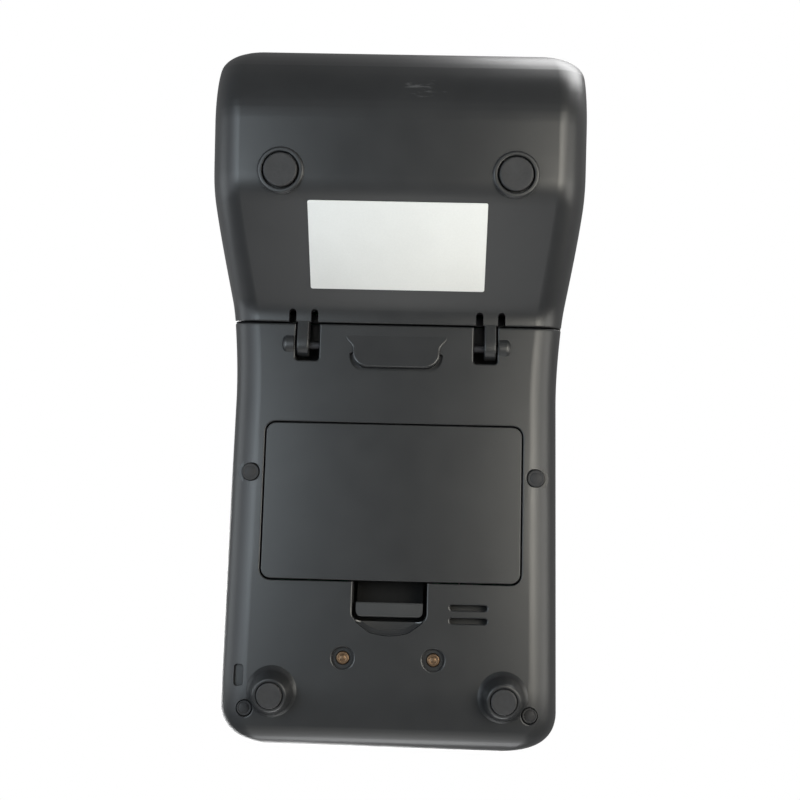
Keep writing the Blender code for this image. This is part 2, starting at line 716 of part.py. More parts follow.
def ramp(side):
    """One half of the ramp between the hinges, and of its end groove, is a mirror of the other."""
    top_s, end_s = SEAM_S - RAMP_TOP_BACK, SEAM_S - RAMP_TOP_BACK - RAMP_LENGTH
    steps = 6
    outline = []
    for i in range(steps + 1):
        share = i / steps
        swing = share**2 * (3 - 2 * share)
        half = (RAMP_TOP_WIDTH + (RAMP_END_WIDTH - RAMP_TOP_WIDTH) * swing) / 2
        outline.append((half, top_s + (end_s - top_s) * share))
    sunk = WALL / 2
    lower = [(x, s, -RAMP_HEIGHT * (top_s - s) / RAMP_LENGTH) for x, s in outline]
    lower += [(-x, s, h) for x, s, h in reversed(lower)]
    upper = [(x, s, sunk) for x, s, _ in lower]
    lower = [(x, s, min(h, -GAP / 10)) for x, s, h in lower]
    return loft([lower, upper])


def legs():
    """Two cones that reach from inside the wall down to the foot pads."""
    base = (SLAB_AXES @ Vector((0, slab_s(LOWER_FOOT_Y), WALL / 2))).z
    return [
        turned(
            [(LEG_TIP_RADIUS, LEG_TIP_LIFT), (LEG_BASE_RADIUS, base)],
            (side * LOWER_FOOT_X, LOWER_FOOT_Y),
        )
        for side in (1, -1)
    ]


def rear_housing():
    housing = solid("rear_housing", body_loft(LOW_END_Y, SEAM_Y - GAP / 2, 0.0), CHARCOAL)
    change(housing, "DIFFERENCE", "rear_parting_cut", above_parting(-GAP / 2), slab=True)
    change(housing, "DIFFERENCE", "rear_cavity", body_loft(LOW_END_Y + WALL, SEAM_Y - GAP / 2 - WALL, WALL))
    sunk = WALL / 2
    top = PARTING_HEIGHT - GAP / 2 - GAP
    tray = box(
        TRAY_WIDTH + 2 * TRAY_WALL,
        TRAY_LOW_S - TRAY_WALL,
        TRAY_HIGH_S + TRAY_WALL,
        sunk,
        TRAY_DEPTH + TRAY_WALL,
    )
    latch_box = box(
        LATCH_POCKET_WIDTH + 2 * TRAY_WALL,
        LATCH_POCKET_LOW_S - TRAY_WALL,
        TRAY_LOW_S,
        sunk,
        LATCH_POCKET_DEPTH + TRAY_WALL,
    )
    change(housing, "UNION", "tray_block", tray, slab=True)
    change(housing, "UNION", "latch_block", latch_box, slab=True)
    bosses = [
        turned([(BOSS_RADIUS, sunk), (BOSS_RADIUS, top)], (x, s), SMALL_SIDES) for _, x, s, _ in SCREWS
    ]
    change(housing, "UNION", "screw_bosses", gathered(bosses), slab=True)
    hinge_boxes = [
        box(
            POCKET_OUTER_X - POCKET_INNER_X + 2 * POCKET_WALL,
            HINGE_S - POCKET_LENGTH / 2 - POCKET_WALL,
            SEAM_S - GAP / 2 - WALL / 2,
            sunk,
            POCKET_DEPTH + POCKET_WALL,
            side * (POCKET_OUTER_X + POCKET_INNER_X) / 2,
        )
        for side in (1, -1)
    ]
    change(housing, "UNION", "hinge_boxes", gathered(hinge_boxes), slab=True)
    dome_share = 0.7
    barrels = [
        turned_x(
            [
                (KNUCKLE_RADIUS, side * POCKET_OUTER_X),
                (KNUCKLE_RADIUS, side * (POCKET_OUTER_X + BARREL_LENGTH * dome_share)),
                (KNUCKLE_RADIUS * dome_share, side * (POCKET_OUTER_X + BARREL_LENGTH)),
            ],
            (HINGE_S, HINGE_DEPTH),
        )
        for side in (1, -1)
    ]
    change(housing, "UNION", "hinge_barrels", gathered(barrels), slab=True)
    change(housing, "UNION", "leg_cones", gathered(legs()))
    change(housing, "UNION", "ramp_block", ramp(1), slab=True)
    cut_holes(housing)
    return housing


def cut_holes(housing):
    opening_width = BATTERY_COVER_WIDTH + 2 * GAP
    opening_middle = (BATTERY_COVER_LOW_S + BATTERY_COVER_HIGH_S) / 2
    opening_length = BATTERY_COVER_HIGH_S - BATTERY_COVER_LOW_S + 2 * GAP
    outline = rounded(opening_width, opening_length, BATTERY_COVER_CORNER + GAP, (0, opening_middle))
    change(housing, "DIFFERENCE", "battery_opening", along_h(outline, -OVERRUN, WALL + GAP), slab=True)
    tray_hollow = box(TRAY_WIDTH, TRAY_LOW_S, TRAY_HIGH_S, WALL, TRAY_DEPTH)
    change(housing, "DIFFERENCE", "tray_hollow", tray_hollow, slab=True)
    pocket_high_s = TRAY_LOW_S - TRAY_WALL
    pocket = rounded(
        LATCH_POCKET_WIDTH,
        pocket_high_s - LATCH_POCKET_LOW_S,
        LATCH_POCKET_CORNER,
        (0, (pocket_high_s + LATCH_POCKET_LOW_S) / 2),
    )
    change(housing, "DIFFERENCE", "latch_pocket", along_h(pocket, -OVERRUN, LATCH_POCKET_DEPTH), slab=True)
    scoop = bmesh.new()
    bmesh.ops.create_uvsphere(scoop, u_segments=ROUND_SIDES, v_segments=SMALL_SIDES, radius=1.0)
    scoop.transform(
        Matrix.Translation((0, LATCH_POCKET_LOW_S + SCOOP_LENGTH / 3, 0))
        @ Matrix.Diagonal((SCOOP_WIDTH / 2, SCOOP_LENGTH, SCOOP_DEPTH, 1.0))
    )
    change(housing, "DIFFERENCE", "finger_scoop", scoop, slab=True)
    slots = [
        along_h(
            rounded(SLOT_LENGTH, SLOT_WIDTH, SLOT_WIDTH / 2 - GAP / 10, (SPEAKER_X, SLOT_LOW_S + i * SLOT_PITCH)),
            -OVERRUN,
            WALL + OVERRUN,
        )
        for i in range(2)
    ]
    wells = [
        turned(
            [
                (WELL_RADIUS, -OVERRUN),
                (WELL_RADIUS, WELL_DEPTH),
                (CONTACT_RADIUS + RUNNING_CLEARANCE, WELL_DEPTH),
                (CONTACT_RADIUS + RUNNING_CLEARANCE, WALL + OVERRUN),
            ],
            (side * CONTACT_X, CONTACT_S),
        )
        for side in (1, -1)
    ]
    lanyard = along_h(
        rounded(LANYARD_WIDTH, LANYARD_LENGTH, LANYARD_WIDTH / 2 - GAP / 10, (LANYARD_X, LANYARD_S)),
        -OVERRUN,
        WALL + OVERRUN,
    )
    shafts = []
    for _, x, s, radius in SCREWS:
        seat = SCREW_SEAT_DEPTH
        shafts.append(
            turned(
                [
                    (radius + RUNNING_CLEARANCE, -OVERRUN),
                    (radius + RUNNING_CLEARANCE, seat),
                    (SCREW_SHANK_RADIUS + RUNNING_CLEARANCE, seat),
                    (SCREW_SHANK_RADIUS + RUNNING_CLEARANCE, PARTING_HEIGHT + OVERRUN),
                ],
                (x, s),
                SMALL_SIDES,
            )
        )
    grooves = [
        box(
            RAMP_END_WIDTH,
            SEAM_S - RAMP_TOP_BACK - RAMP_LENGTH - RAMP_GROOVE,
            SEAM_S - RAMP_TOP_BACK - RAMP_LENGTH,
            -OVERRUN,
            RAMP_GROOVE,
        )
    ]
    holes = gathered(slots + wells + [lanyard] + shafts + grooves)
    change(housing, "DIFFERENCE", "small_holes", holes, slab=True)
    pockets = [
        box(
            POCKET_OUTER_X - POCKET_INNER_X,
            HINGE_S - POCKET_LENGTH / 2,
            SEAM_S + OVERRUN,
            -OVERRUN,
            POCKET_DEPTH,
            side * (POCKET_OUTER_X + POCKET_INNER_X) / 2,
        )
        for side in (1, -1)
    ]
    change(housing, "DIFFERENCE", "hinge_pockets", gathered(pockets), slab=True)
    pin_low, pin_high = POCKET_INNER_X - POCKET_WALL / 2, POCKET_OUTER_X + BARREL_LENGTH / 2
    bores = [
        turned_x(
            [(PIN_RADIUS + RUNNING_CLEARANCE, side * pin_low), (PIN_RADIUS + RUNNING_CLEARANCE, side * pin_high)],
            (HINGE_S, HINGE_DEPTH),
        )
        for side in (1, -1)
    ]
    change(housing, "DIFFERENCE", "pin_bores", gathered(bores), slab=True)
    pad_hole = [
        turned(
            [(LOWER_PAD_RADIUS + RUNNING_CLEARANCE, -OVERRUN), (LOWER_PAD_RADIUS + RUNNING_CLEARANCE, PAD_THICKNESS + GAP)],
            (side * LOWER_FOOT_X, LOWER_FOOT_Y),
        )
        for side in (1, -1)
    ]
    change(housing, "DIFFERENCE", "leg_pad_holes", gathered(pad_hole))


# Front housing

def key_middle(row, column):
    return (column - (KEY_COLUMNS - 1) / 2) * KEY_PITCH_X, KEY_FIRST_S + row * KEY_PITCH_S


LENS_MIDDLE_S = LENS_LOW_S + LENS_LENGTH / 2
FLANGE_TOP = SLAB_THICKNESS - WALL - GAP
FLANGE_LOW = FLANGE_TOP - KEY_FLANGE_THICKNESS
MAT_TOP = FLANGE_LOW - KEY_TRAVEL - GAP
MAT_LOW = MAT_TOP - MAT_THICKNESS
KEYPAD_BOARD_TOP = MAT_LOW - GAP
KEYPAD_BOARD_LOW = KEYPAD_BOARD_TOP - BOARD_THICKNESS
READER_TOP = KEYPAD_BOARD_LOW - GAP
CARD_H = READER_TOP - READER_THICKNESS / 2
LENS_LOW_H = SLAB_THICKNESS - LENS_THICKNESS
MODULE_TOP = SLAB_THICKNESS - WALL - ANTENNA_THICKNESS - 2 * GAP
MODULE_LOW = MODULE_TOP - MODULE_THICKNESS
MAIN_BOARD_TOP = MODULE_LOW - GAP
SLOT_EDGE_WIDTH = LIP_WIDTH + 2 * GAP
ROLL_PLACE = (ROLL_Y, ROLL_LIFT)


def rib_outline():
    """A rib under the roof that the paper bucket and the printer's frame hang from."""
    radius = ROLL_RADIUS + BUCKET_CLEARANCE + BUCKET_WALL + GAP
    lower = circle(radius, ROLL_PLACE, SMALL_SIDES, RIB_START, math.pi / 2 - RIB_START)
    step_y = FRAME_LOW_Y - GAP
    lower = [point for point in lower if point[0] < step_y]
    lower += [(step_y, lower[-1][1]), (step_y, FRAME_TOP_LIFT + GAP)]
    lower.append((FRAME_LOW_Y + BEAM_DEPTH, FRAME_TOP_LIFT + GAP))
    roof, _ = topside(WALL / 2)
    upper = []
    for share in (1.0, 0.75, 0.5, 0.25, 0.0):
        y = lower[0][0] + (lower[-1][0] - lower[0][0]) * share
        upper.append((y, roof(y)))
    return lower + upper


def front_housing():
    housing = solid("front_housing", body_loft(LOW_END_Y, FAR_END_Y, 0.0), CHARCOAL)
    change(housing, "DIFFERENCE", "front_parting_cut", below_parting(GAP / 2), slab=True)
    change(housing, "DIFFERENCE", "front_cavity", body_loft(LOW_END_Y + WALL, FAR_END_Y - WALL, WALL))
    low, high = PARTING_HEIGHT + GAP / 2, SLAB_THICKNESS - WALL / 2
    bosses = []
    for _, x, s, _ in SCREWS:
        top = high - (CORNER_BOSS_DROP if s < LOW_PLAN_RADIUS else 0)
        bosses.append(turned([(FRONT_BOSS_RADIUS, low), (FRONT_BOSS_RADIUS, top)], (x, s), SMALL_SIDES))
    posts = []
    for x in (-1, 1):
        for s in (KEYPAD_BOARD_LOW_S + POST_INSET, KEYPAD_BOARD_HIGH_S - POST_INSET):
            place = (x * (KEYPAD_BOARD_WIDTH / 2 - POST_INSET), s)
            posts.append(
                turned([(POST_RADIUS, KEYPAD_BOARD_TOP + GAP), (POST_RADIUS, high)], place, SMALL_SIDES)
            )
    change(housing, "UNION", "front_bosses", gathered(bosses + posts), slab=True)
    ribs = []
    for side in (1, -1):
        ends = (side * RIB_X, side * (RIB_X + RIB_WIDTH))
        ribs.append(along_x(rib_outline(), *ends))
    change(housing, "UNION", "roof_ribs", gathered(ribs))
    pilots = [
        turned(
            [
                (SCREW_SHANK_RADIUS + RUNNING_CLEARANCE, PARTING_HEIGHT - OVERRUN),
                (SCREW_SHANK_RADIUS + RUNNING_CLEARANCE, SCREW_SEAT_DEPTH + SCREW_LENGTH + GAP),
            ],
            (x, s),
            SMALL_SIDES,
        )
        for _, x, s, _ in SCREWS
    ]
    key_holes = []
    for row in range(len(KEY_NAMES)):
        for column in range(KEY_COLUMNS):
            outline = rounded(
                KEY_WIDTH + 2 * GAP, KEY_LENGTH + 2 * GAP, KEY_CORNER + GAP, key_middle(row, column)
            )
            key_holes.append(along_h(outline, SLAB_THICKNESS - WALL - OVERRUN / 4, SLAB_THICKNESS + OVERRUN))
    recess_floor = LENS_LOW_H - GAP
    recess = along_h(
        rounded(LENS_WIDTH + 2 * GAP, LENS_LENGTH + 2 * GAP, LENS_CORNER + GAP, (0, LENS_MIDDLE_S)),
        recess_floor,
        SLAB_THICKNESS + OVERRUN,
    )
    holes = gathered(pilots + key_holes + [recess])
    change(housing, "DIFFERENCE", "front_holes", holes, slab=True)
    window = along_h(
        rounded(
            LENS_WIDTH - 2 * WINDOW_MARGIN,
            LENS_LENGTH - 2 * WINDOW_MARGIN,
            LENS_CORNER,
            (0, LENS_MIDDLE_S),
        ),
        SLAB_THICKNESS - WALL - OVERRUN,
        SLAB_THICKNESS + OVERRUN / 2,
    )
    change(housing, "DIFFERENCE", "display_window", window, slab=True)
    card_slot = box(
        CARD_SLOT_WIDTH,
        -LOW_PLAN_RADIUS,
        LOW_PLAN_RADIUS,
        CARD_H - CARD_SLOT_HEIGHT / 2,
        CARD_H + CARD_SLOT_HEIGHT / 2,
    )
    change(housing, "DIFFERENCE", "card_slot", card_slot, slab=True)
    low_lift = PLATEN_LIFT / 2
    notch_outline = [
        (SLOT_START_Y, low_lift),
        (FAR_END_Y + OVERRUN, low_lift),
        (FAR_END_Y + OVERRUN, CUT_TOP),
        (SLOT_START_Y, CUT_TOP),
    ]
    notch = along_x(notch_outline, -SLOT_EDGE_WIDTH / 2, SLOT_EDGE_WIDTH / 2)
    change(housing, "DIFFERENCE", "paper_exit", notch)
    return housing


# Printer cover

def arm_outline():
    """The arm from the cover's edge to its knuckle, in (s, h): a half round and a straight root."""
    knuckle = circle(KNUCKLE_RADIUS, (HINGE_S, HINGE_DEPTH), SMALL_SIDES, math.pi / 2, math.pi)
    low = HINGE_DEPTH - KNUCKLE_RADIUS
    root_s = SEAM_S + ARM_ROOT
    level = WALL / 4
    return knuckle + [(HINGE_S + KNUCKLE_RADIUS / 2, low), (root_s, level), (root_s, ARM_THICKNESS)]


def lip_clear_of(clearance):
    """The block above the parting plane that the cover's lip keeps."""
    half = LIP_WIDTH / 2 + clearance
    low_lift = PLATEN_LIFT / 2
    outline = [
        (LIP_START_Y - clearance, low_lift),
        (FAR_END_Y + 2 * OVERRUN, low_lift),
        (FAR_END_Y + 2 * OVERRUN, CUT_TOP + OVERRUN),
        (LIP_START_Y - clearance, CUT_TOP + OVERRUN),
    ]
    return along_x(outline, -half, half)


PLATEN_PLACE = (PLATEN_Y, PLATEN_LIFT)
EAR_LOW_X = GEAR_PLANE_X + GEAR_THICKNESS + GAP


def ear_outline():
    """A bracket that grows out of the cover's end wall and rises to the platen's bushing."""
    parting = (SLAB_AXES @ Vector((0, slab_s(FAR_END_Y), PARTING_HEIGHT))).z
    wall_y = FAR_END_Y - WALL / 2
    top = circle(EAR_RADIUS, PLATEN_PLACE, SMALL_SIDES, math.pi / 3, math.pi * 7 / 6)
    foot = (WIDEST_LIFT + parting) / 2
    return top + [(wall_y, foot - EAR_RADIUS), (wall_y, parting - WALL)]


def printer_cover(carrier):
    cover = solid("printer_cover", body_loft(SEAM_Y + GAP / 2, FAR_END_Y, 0.0), CHARCOAL, carrier)
    trim = solid("cover_trim", above_parting(-GAP / 2), None, slab=True, smooth=False)
    trim.hide_render = True
    trim.display_type = "WIRE"
    change(trim, "DIFFERENCE", "lip_block", lip_clear_of(0.0))
    parting = cover.modifiers.new("cover_parting_cut", "BOOLEAN")
    parting.operation = "DIFFERENCE"
    parting.object = trim
    parting.solver = "EXACT"
    hollow = body_loft(SEAM_Y + GAP / 2 + COVER_EDGE_WALL, FAR_END_Y - WALL, WALL)
    change(cover, "DIFFERENCE", "cover_cavity", hollow)
    arms = [
        along_x(arm_outline(), side * ARM_INNER_X, side * (ARM_INNER_X + ARM_WIDTH)) for side in (1, -1)
    ]
    change(cover, "UNION", "hinge_arms", gathered(arms), slab=True)
    ears = [
        along_x(ear_outline(), side * EAR_LOW_X, side * (EAR_LOW_X + EAR_THICKNESS)) for side in (1, -1)
    ]
    change(cover, "UNION", "platen_ears", gathered(ears))
    rings = [
        turned(
            [(UPPER_RING_RADIUS - GAP, UPPER_RING_LIFT), (UPPER_RING_RADIUS, UPPER_RING_LIFT + GAP), (UPPER_RING_RADIUS, HUMP_LIFT + WALL)],
            (side * UPPER_FOOT_X, UPPER_FOOT_Y),
        )
        for side in (1, -1)
    ]
    change(cover, "UNION", "foot_rings", gathered(rings))
    wells = [
        turned(
            [(UPPER_PAD_RADIUS + GAP, -OVERRUN), (UPPER_PAD_RADIUS + GAP, PAD_THICKNESS + GAP)],
            (side * UPPER_FOOT_X, UPPER_FOOT_Y),
        )
        for side in (1, -1)
    ]
    change(cover, "DIFFERENCE", "foot_wells", gathered(wells))
    slits = []
    for side in (1, -1):
        for x in (ARM_INNER_X - GAP - SLIT_WIDTH / 2, ARM_INNER_X + ARM_WIDTH + GAP + SLIT_WIDTH / 2):
            outline = rounded(
                SLIT_WIDTH,
                SLIT_LENGTH + OVERRUN,
                SLIT_WIDTH / 2 - GAP / 10,
                (side * x, SEAM_S + (SLIT_LENGTH - OVERRUN) / 2),
            )
            slits.append(along_h(outline, -OVERRUN, SLIT_DEPTH))
    change(cover, "DIFFERENCE", "arm_slits", gathered(slits), slab=True)
    low_x, high_x = ARM_INNER_X - OVERRUN, ARM_INNER_X + ARM_WIDTH + OVERRUN
    bores = [
        turned_x(
            [(PIN_RADIUS + RUNNING_CLEARANCE, side * low_x), (PIN_RADIUS + RUNNING_CLEARANCE, side * high_x)],
            (HINGE_S, HINGE_DEPTH),
        )
        for side in (1, -1)
    ]
    change(cover, "DIFFERENCE", "arm_bores", gathered(bores), slab=True)
    bushing_holes = [
        turned_x(
            [(BUSHING_RADIUS + GAP / 2, side * (EAR_LOW_X - GAP)), (BUSHING_RADIUS + GAP / 2, side * (EAR_LOW_X + EAR_THICKNESS + GAP))],
            PLATEN_PLACE,
        )
        for side in (1, -1)
    ]
    change(cover, "DIFFERENCE", "bushing_holes", gathered(bushing_holes))
    return cover


def hinge_pins():
    for name, side in (("right", 1), ("left", -1)):
        low = POCKET_INNER_X - POCKET_WALL / 2 + RUNNING_CLEARANCE
        high = POCKET_OUTER_X + BARREL_LENGTH / 2 - RUNNING_CLEARANCE
        rod = turned_x([(PIN_RADIUS, side * low), (PIN_RADIUS, side * high)], (HINGE_S, HINGE_DEPTH))
        solid("hinge_pin_" + name, rod, STEEL, slab=True)


def feet(cover_hinge):
    for name, side in (("right", 1), ("left", -1)):
        bevel = GAP
        upper = [
            (UPPER_PAD_RADIUS - bevel, 0.0),
            (UPPER_PAD_RADIUS, bevel),
            (UPPER_PAD_RADIUS, PAD_THICKNESS),
        ]
        pad = turned(upper, (side * UPPER_FOOT_X, UPPER_FOOT_Y))
        solid("upper_foot_" + name, pad, DARK_RUBBER, cover_hinge)
        lower = [
            (LOWER_PAD_RADIUS - bevel, 0.0),
            (LOWER_PAD_RADIUS, bevel),
            (LOWER_PAD_RADIUS, PAD_THICKNESS),
        ]
        pad = turned(lower, (side * LOWER_FOOT_X, LOWER_FOOT_Y))
        solid("lower_foot_" + name, pad, DARK_RUBBER)


def label(cover_hinge):
    """A thin sticker on the hump's slope, in axes that lie along the slope."""
    slope_axes = Matrix.Translation((0, SLOPE_FOOT_Y, HUMP_LIFT)) @ Matrix.Rotation(-HUMP_SLOPE, 4, "X")
    outline = rounded(LABEL_WIDTH, LABEL_HEIGHT, LABEL_CORNER, (0, -LABEL_UP_SLOPE))
    sticker = along_h(outline, -LABEL_SEAT - LABEL_THICKNESS, -LABEL_SEAT)
    sticker.transform(slope_axes)
    solid("label", sticker, LABEL_WHITE, cover_hinge)


def screws_and_plugs():
    for name, x, s, radius in SCREWS:
        plug = turned([(radius, PLUG_RECESS), (radius, PLUG_RECESS + PLUG_LENGTH)], (x, s), SMALL_SIDES)
        solid(name.split("_")[0] + "_plug_" + name.split("_")[1], plug, DARK_RUBBER, slab=True)
        seat = SCREW_SEAT_DEPTH - RUNNING_CLEARANCE
        screw = turned(
            [
                (radius - RUNNING_CLEARANCE, seat - SCREW_HEAD_LENGTH),
                (radius - RUNNING_CLEARANCE, seat),
                (SCREW_SHANK_RADIUS, seat),
                (SCREW_SHANK_RADIUS, seat + SCREW_LENGTH),
            ],
            (x, s),
            SMALL_SIDES,
        )
        solid(name.split("_")[0] + "_screw_" + name.split("_")[1], screw, STEEL, slab=True)


# Battery, its cover and its latch

def battery_cover(hinge):
    middle = (BATTERY_COVER_LOW_S + BATTERY_COVER_HIGH_S) / 2
    length = BATTERY_COVER_HIGH_S - BATTERY_COVER_LOW_S
    plate = along_h(rounded(BATTERY_COVER_WIDTH, length, BATTERY_COVER_CORNER, (0, middle)), 0.0, WALL)
    cover = solid("battery_cover", plate, CHARCOAL, hinge, slab=True)
    tongue_s = BATTERY_COVER_HIGH_S - TONGUE_LENGTH
    tongues = []
    for side in (1, -1):
        outline = [
            (tongue_s, WALL / 2),
            (tongue_s + TONGUE_LENGTH / 2, WALL / 2),
            (tongue_s + TONGUE_LENGTH / 2, WALL + GAP),
            (BATTERY_COVER_HIGH_S + TONGUE_LENGTH, WALL + GAP),
            (BATTERY_COVER_HIGH_S + TONGUE_LENGTH, WALL + GAP + TONGUE_THICKNESS),
            (tongue_s, WALL + GAP + TONGUE_THICKNESS),
        ]
        low_x = side * TONGUE_X - TONGUE_WIDTH / 2
        tongues.append(along_x(outline, low_x, low_x + TONGUE_WIDTH))
    change(cover, "UNION", "cover_tongues", gathered(tongues), slab=True)
    rib = box(
        LATCH_WIDTH,
        BATTERY_COVER_LOW_S + GAP / 2,
        BATTERY_COVER_LOW_S + COVER_RIB_LENGTH,
        WALL / 2,
        WALL + COVER_RIB_HEIGHT,
    )
    change(cover, "UNION", "cover_rib", rib, slab=True)


def battery_latch(hinge):
    """The bar in the finger pocket, and the spring leaf that folds over the cover's rib."""
    bridge_low = WALL + COVER_RIB_HEIGHT + GAP
    bridge_high = bridge_low + LATCH_SPRING_THICKNESS
    step = LATCH_SPRING_THICKNESS
    outline = [
        (LATCH_BAR_LOW_S, GAP + step),
        (LATCH_BAR_LOW_S + step, GAP),
        (LATCH_BAR_HIGH_S - step / 2, GAP),
        (LATCH_BAR_HIGH_S, GAP + step / 2),
        (LATCH_BAR_HIGH_S, bridge_low),
        (BATTERY_COVER_LOW_S + COVER_RIB_LENGTH / 2, bridge_low),
        (BATTERY_COVER_LOW_S + COVER_RIB_LENGTH / 2, bridge_high),
        (LATCH_BAR_HIGH_S - step, bridge_high),
        (LATCH_BAR_HIGH_S - step, GAP + LATCH_BAR_THICKNESS),
        (LATCH_BAR_LOW_S, GAP + LATCH_BAR_THICKNESS),
    ]
    latch = along_x(outline, -LATCH_WIDTH / 2, LATCH_WIDTH / 2)
    solid("battery_latch", latch, BLACK_PLASTIC, hinge, slab=True)


def battery_pack():
    low = WALL + 2 * GAP
    high = TRAY_DEPTH - GAP
    middle = TRAY_LOW_S + GAP + BATTERY_LENGTH / 2
    outline = rounded(BATTERY_WIDTH, BATTERY_LENGTH, BATTERY_CORNER, (0, middle))
    solid("battery_pack", along_h(outline, low, high), BLACK_PLASTIC, slab=True)


def speaker_and_contacts():
    middle = (SPEAKER_X, SLOT_LOW_S + SLOT_PITCH / 2)
    low = WALL + GAP
    step = SPEAKER_THICKNESS / 2
    profile = [
        (SPEAKER_RADIUS, low),
        (SPEAKER_RADIUS, low + step),
        (SPEAKER_RADIUS - step, low + step),
        (SPEAKER_RADIUS - step, low + SPEAKER_THICKNESS),
    ]
    solid("speaker", turned(profile, middle), BLACK_PLASTIC, slab=True)
    for name, side in (("right", 1), ("left", -1)):
        profile = [
            (CONTACT_RADIUS - RUNNING_CLEARANCE, CONTACT_HEAD),
            (CONTACT_RADIUS, CONTACT_HEAD + RUNNING_CLEARANCE),
            (CONTACT_RADIUS, CONTACT_LENGTH),
        ]
        pad = turned(profile, (side * CONTACT_X, CONTACT_S))
        solid("charge_contact_" + name, pad, GILT, slab=True)


# Keys, boards, display and card reader

def keys():
    for row, names in enumerate(KEY_NAMES):
        for column, name in enumerate(names):
            middle = key_middle(row, column)
            wide = (KEY_WIDTH + 2 * KEY_FLANGE, KEY_LENGTH + 2 * KEY_FLANGE, KEY_CORNER + KEY_FLANGE)
            plain = (KEY_WIDTH, KEY_LENGTH, KEY_CORNER)
            small = (KEY_WIDTH - 2 * KEY_BEVEL, KEY_LENGTH - 2 * KEY_BEVEL, KEY_CORNER - KEY_BEVEL)
            top = SLAB_THICKNESS + KEY_PROUD
            levels = (
                (wide, FLANGE_LOW),
                (wide, FLANGE_TOP),
                (plain, FLANGE_TOP),
                (plain, top - KEY_BEVEL),
                (small, top),
            )
            rings = [[(x, s, h) for x, s in rounded(*shape, middle)] for shape, h in levels]
            place = SLAB_AXES @ Vector((*middle, FLANGE_LOW))
            carrier = pivot("key_" + name + "_travel", place, tilted=True)
            solid("key_" + name, loft(rings), KEY_COLOURS.get(name, KEY_GREY), carrier, slab=True)


def boards():
    low_s = KEY_FIRST_S - KEY_LENGTH / 2 - KEY_FLANGE - MAT_MARGIN
    high_s = KEY_FIRST_S + (len(KEY_NAMES) - 1) * KEY_PITCH_S + KEY_LENGTH / 2 + KEY_FLANGE + MAT_MARGIN
    post_low = KEYPAD_BOARD_LOW_S + POST_INSET + POST_RADIUS + GAP
    post_high = KEYPAD_BOARD_HIGH_S - POST_INSET - POST_RADIUS - GAP
    mat = box(KEYPAD_WIDTH, max(low_s, post_low), min(high_s, post_high), MAT_LOW, MAT_TOP)
    solid("keypad_mat", mat, NYLON, slab=True)
    board = box(
        KEYPAD_BOARD_WIDTH, KEYPAD_BOARD_LOW_S, KEYPAD_BOARD_HIGH_S, KEYPAD_BOARD_LOW, KEYPAD_BOARD_TOP
    )
    solid("keypad_board", board, BOARD_GREEN, slab=True)
    main = box(
        MAIN_BOARD_WIDTH,
        LENS_LOW_S + GAP,
        LENS_LOW_S + LENS_LENGTH,
        MAIN_BOARD_TOP - BOARD_THICKNESS,
        MAIN_BOARD_TOP,
    )
    solid("main_board", main, BOARD_GREEN, slab=True)


def display():
    glass = along_h(
        rounded(LENS_WIDTH, LENS_LENGTH, LENS_CORNER, (0, LENS_MIDDLE_S)), LENS_LOW_H, SLAB_THICKNESS
    )
    solid("display_lens", glass, LENS_BLACK, slab=True)
    width, length = LENS_WIDTH - 2 * MODULE_MARGIN, LENS_LENGTH - 2 * MODULE_MARGIN
    module = along_h(rounded(width, length, LENS_CORNER / 2, (0, LENS_MIDDLE_S)), MODULE_LOW, MODULE_TOP)
    solid("display_module", module, BLACK_PLASTIC, slab=True)
    low, high = MODULE_TOP + GAP, MODULE_TOP + GAP + ANTENNA_THICKNESS
    loop = solid(
        "antenna_loop",
        along_h(rounded(width, length, LENS_CORNER, (0, LENS_MIDDLE_S)), low, high),
        BOARD_GREEN,
        slab=True,
    )
    inside = rounded(width - 2 * ANTENNA_WIDTH, length - 2 * ANTENNA_WIDTH, LENS_CORNER / 2, (0, LENS_MIDDLE_S))
    change(loop, "DIFFERENCE", "antenna_hole", along_h(inside, low - OVERRUN, high + OVERRUN), slab=True)


def card_reader():
    body = box(READER_WIDTH, READER_LOW_S, READER_HIGH_S, READER_TOP - READER_THICKNESS, READER_TOP)
    reader = solid("card_reader", body, BLACK_PLASTIC, slab=True)
    channel = box(
        CARD_CHANNEL_WIDTH,
        READER_LOW_S - OVERRUN,
        READER_HIGH_S - WALL,
        CARD_H - CARD_CHANNEL_HEIGHT / 2,
        CARD_H + CARD_CHANNEL_HEIGHT / 2,
    )
    change(reader, "DIFFERENCE", "card_channel", channel, slab=True)


# Paper compartment and printer

def sector(radius, reach):
    """The arc of the bucket closed by its chord, which moves out by reach."""
    arc = circle(radius, ROLL_PLACE, ROUND_SIDES, BUCKET_START, BUCKET_END - BUCKET_START)
    middle = (BUCKET_START + BUCKET_END) / 2 - math.pi
    away = (reach * math.cos(middle), reach * math.sin(middle))
    first, last = arc[0], arc[-1]
    if not reach:
        return arc
    return arc + [(last[0] + away[0], last[1] + away[1]), (first[0] + away[0], first[1] + away[1])]


def paper_compartment():
    inner = ROLL_RADIUS + BUCKET_CLEARANCE
    half = ROLL_LENGTH / 2 + BUCKET_CLEARANCE
    outer_half = half + BUCKET_WALL
    bucket = solid(
        "paper_bucket",
        along_x(sector(inner + BUCKET_WALL, 0), -outer_half, outer_half),
        BLACK_PLASTIC,
    )
    change(bucket, "DIFFERENCE", "bucket_hollow", along_x(sector(inner, OVERRUN), -half, half))
    spin = pivot("paper_roll_spin", (0, *ROLL_PLACE))
    roll = pipe_x(ROLL_RADIUS, ROLL_BORE_RADIUS, -ROLL_LENGTH / 2, ROLL_LENGTH / 2, ROLL_PLACE, ROLL_SIDES)
    solid("paper_roll", roll, PAPER_WHITE, spin)


def beside(place, direction, distance):
    return place[0] + distance * math.cos(direction), place[1] + distance * math.sin(direction)


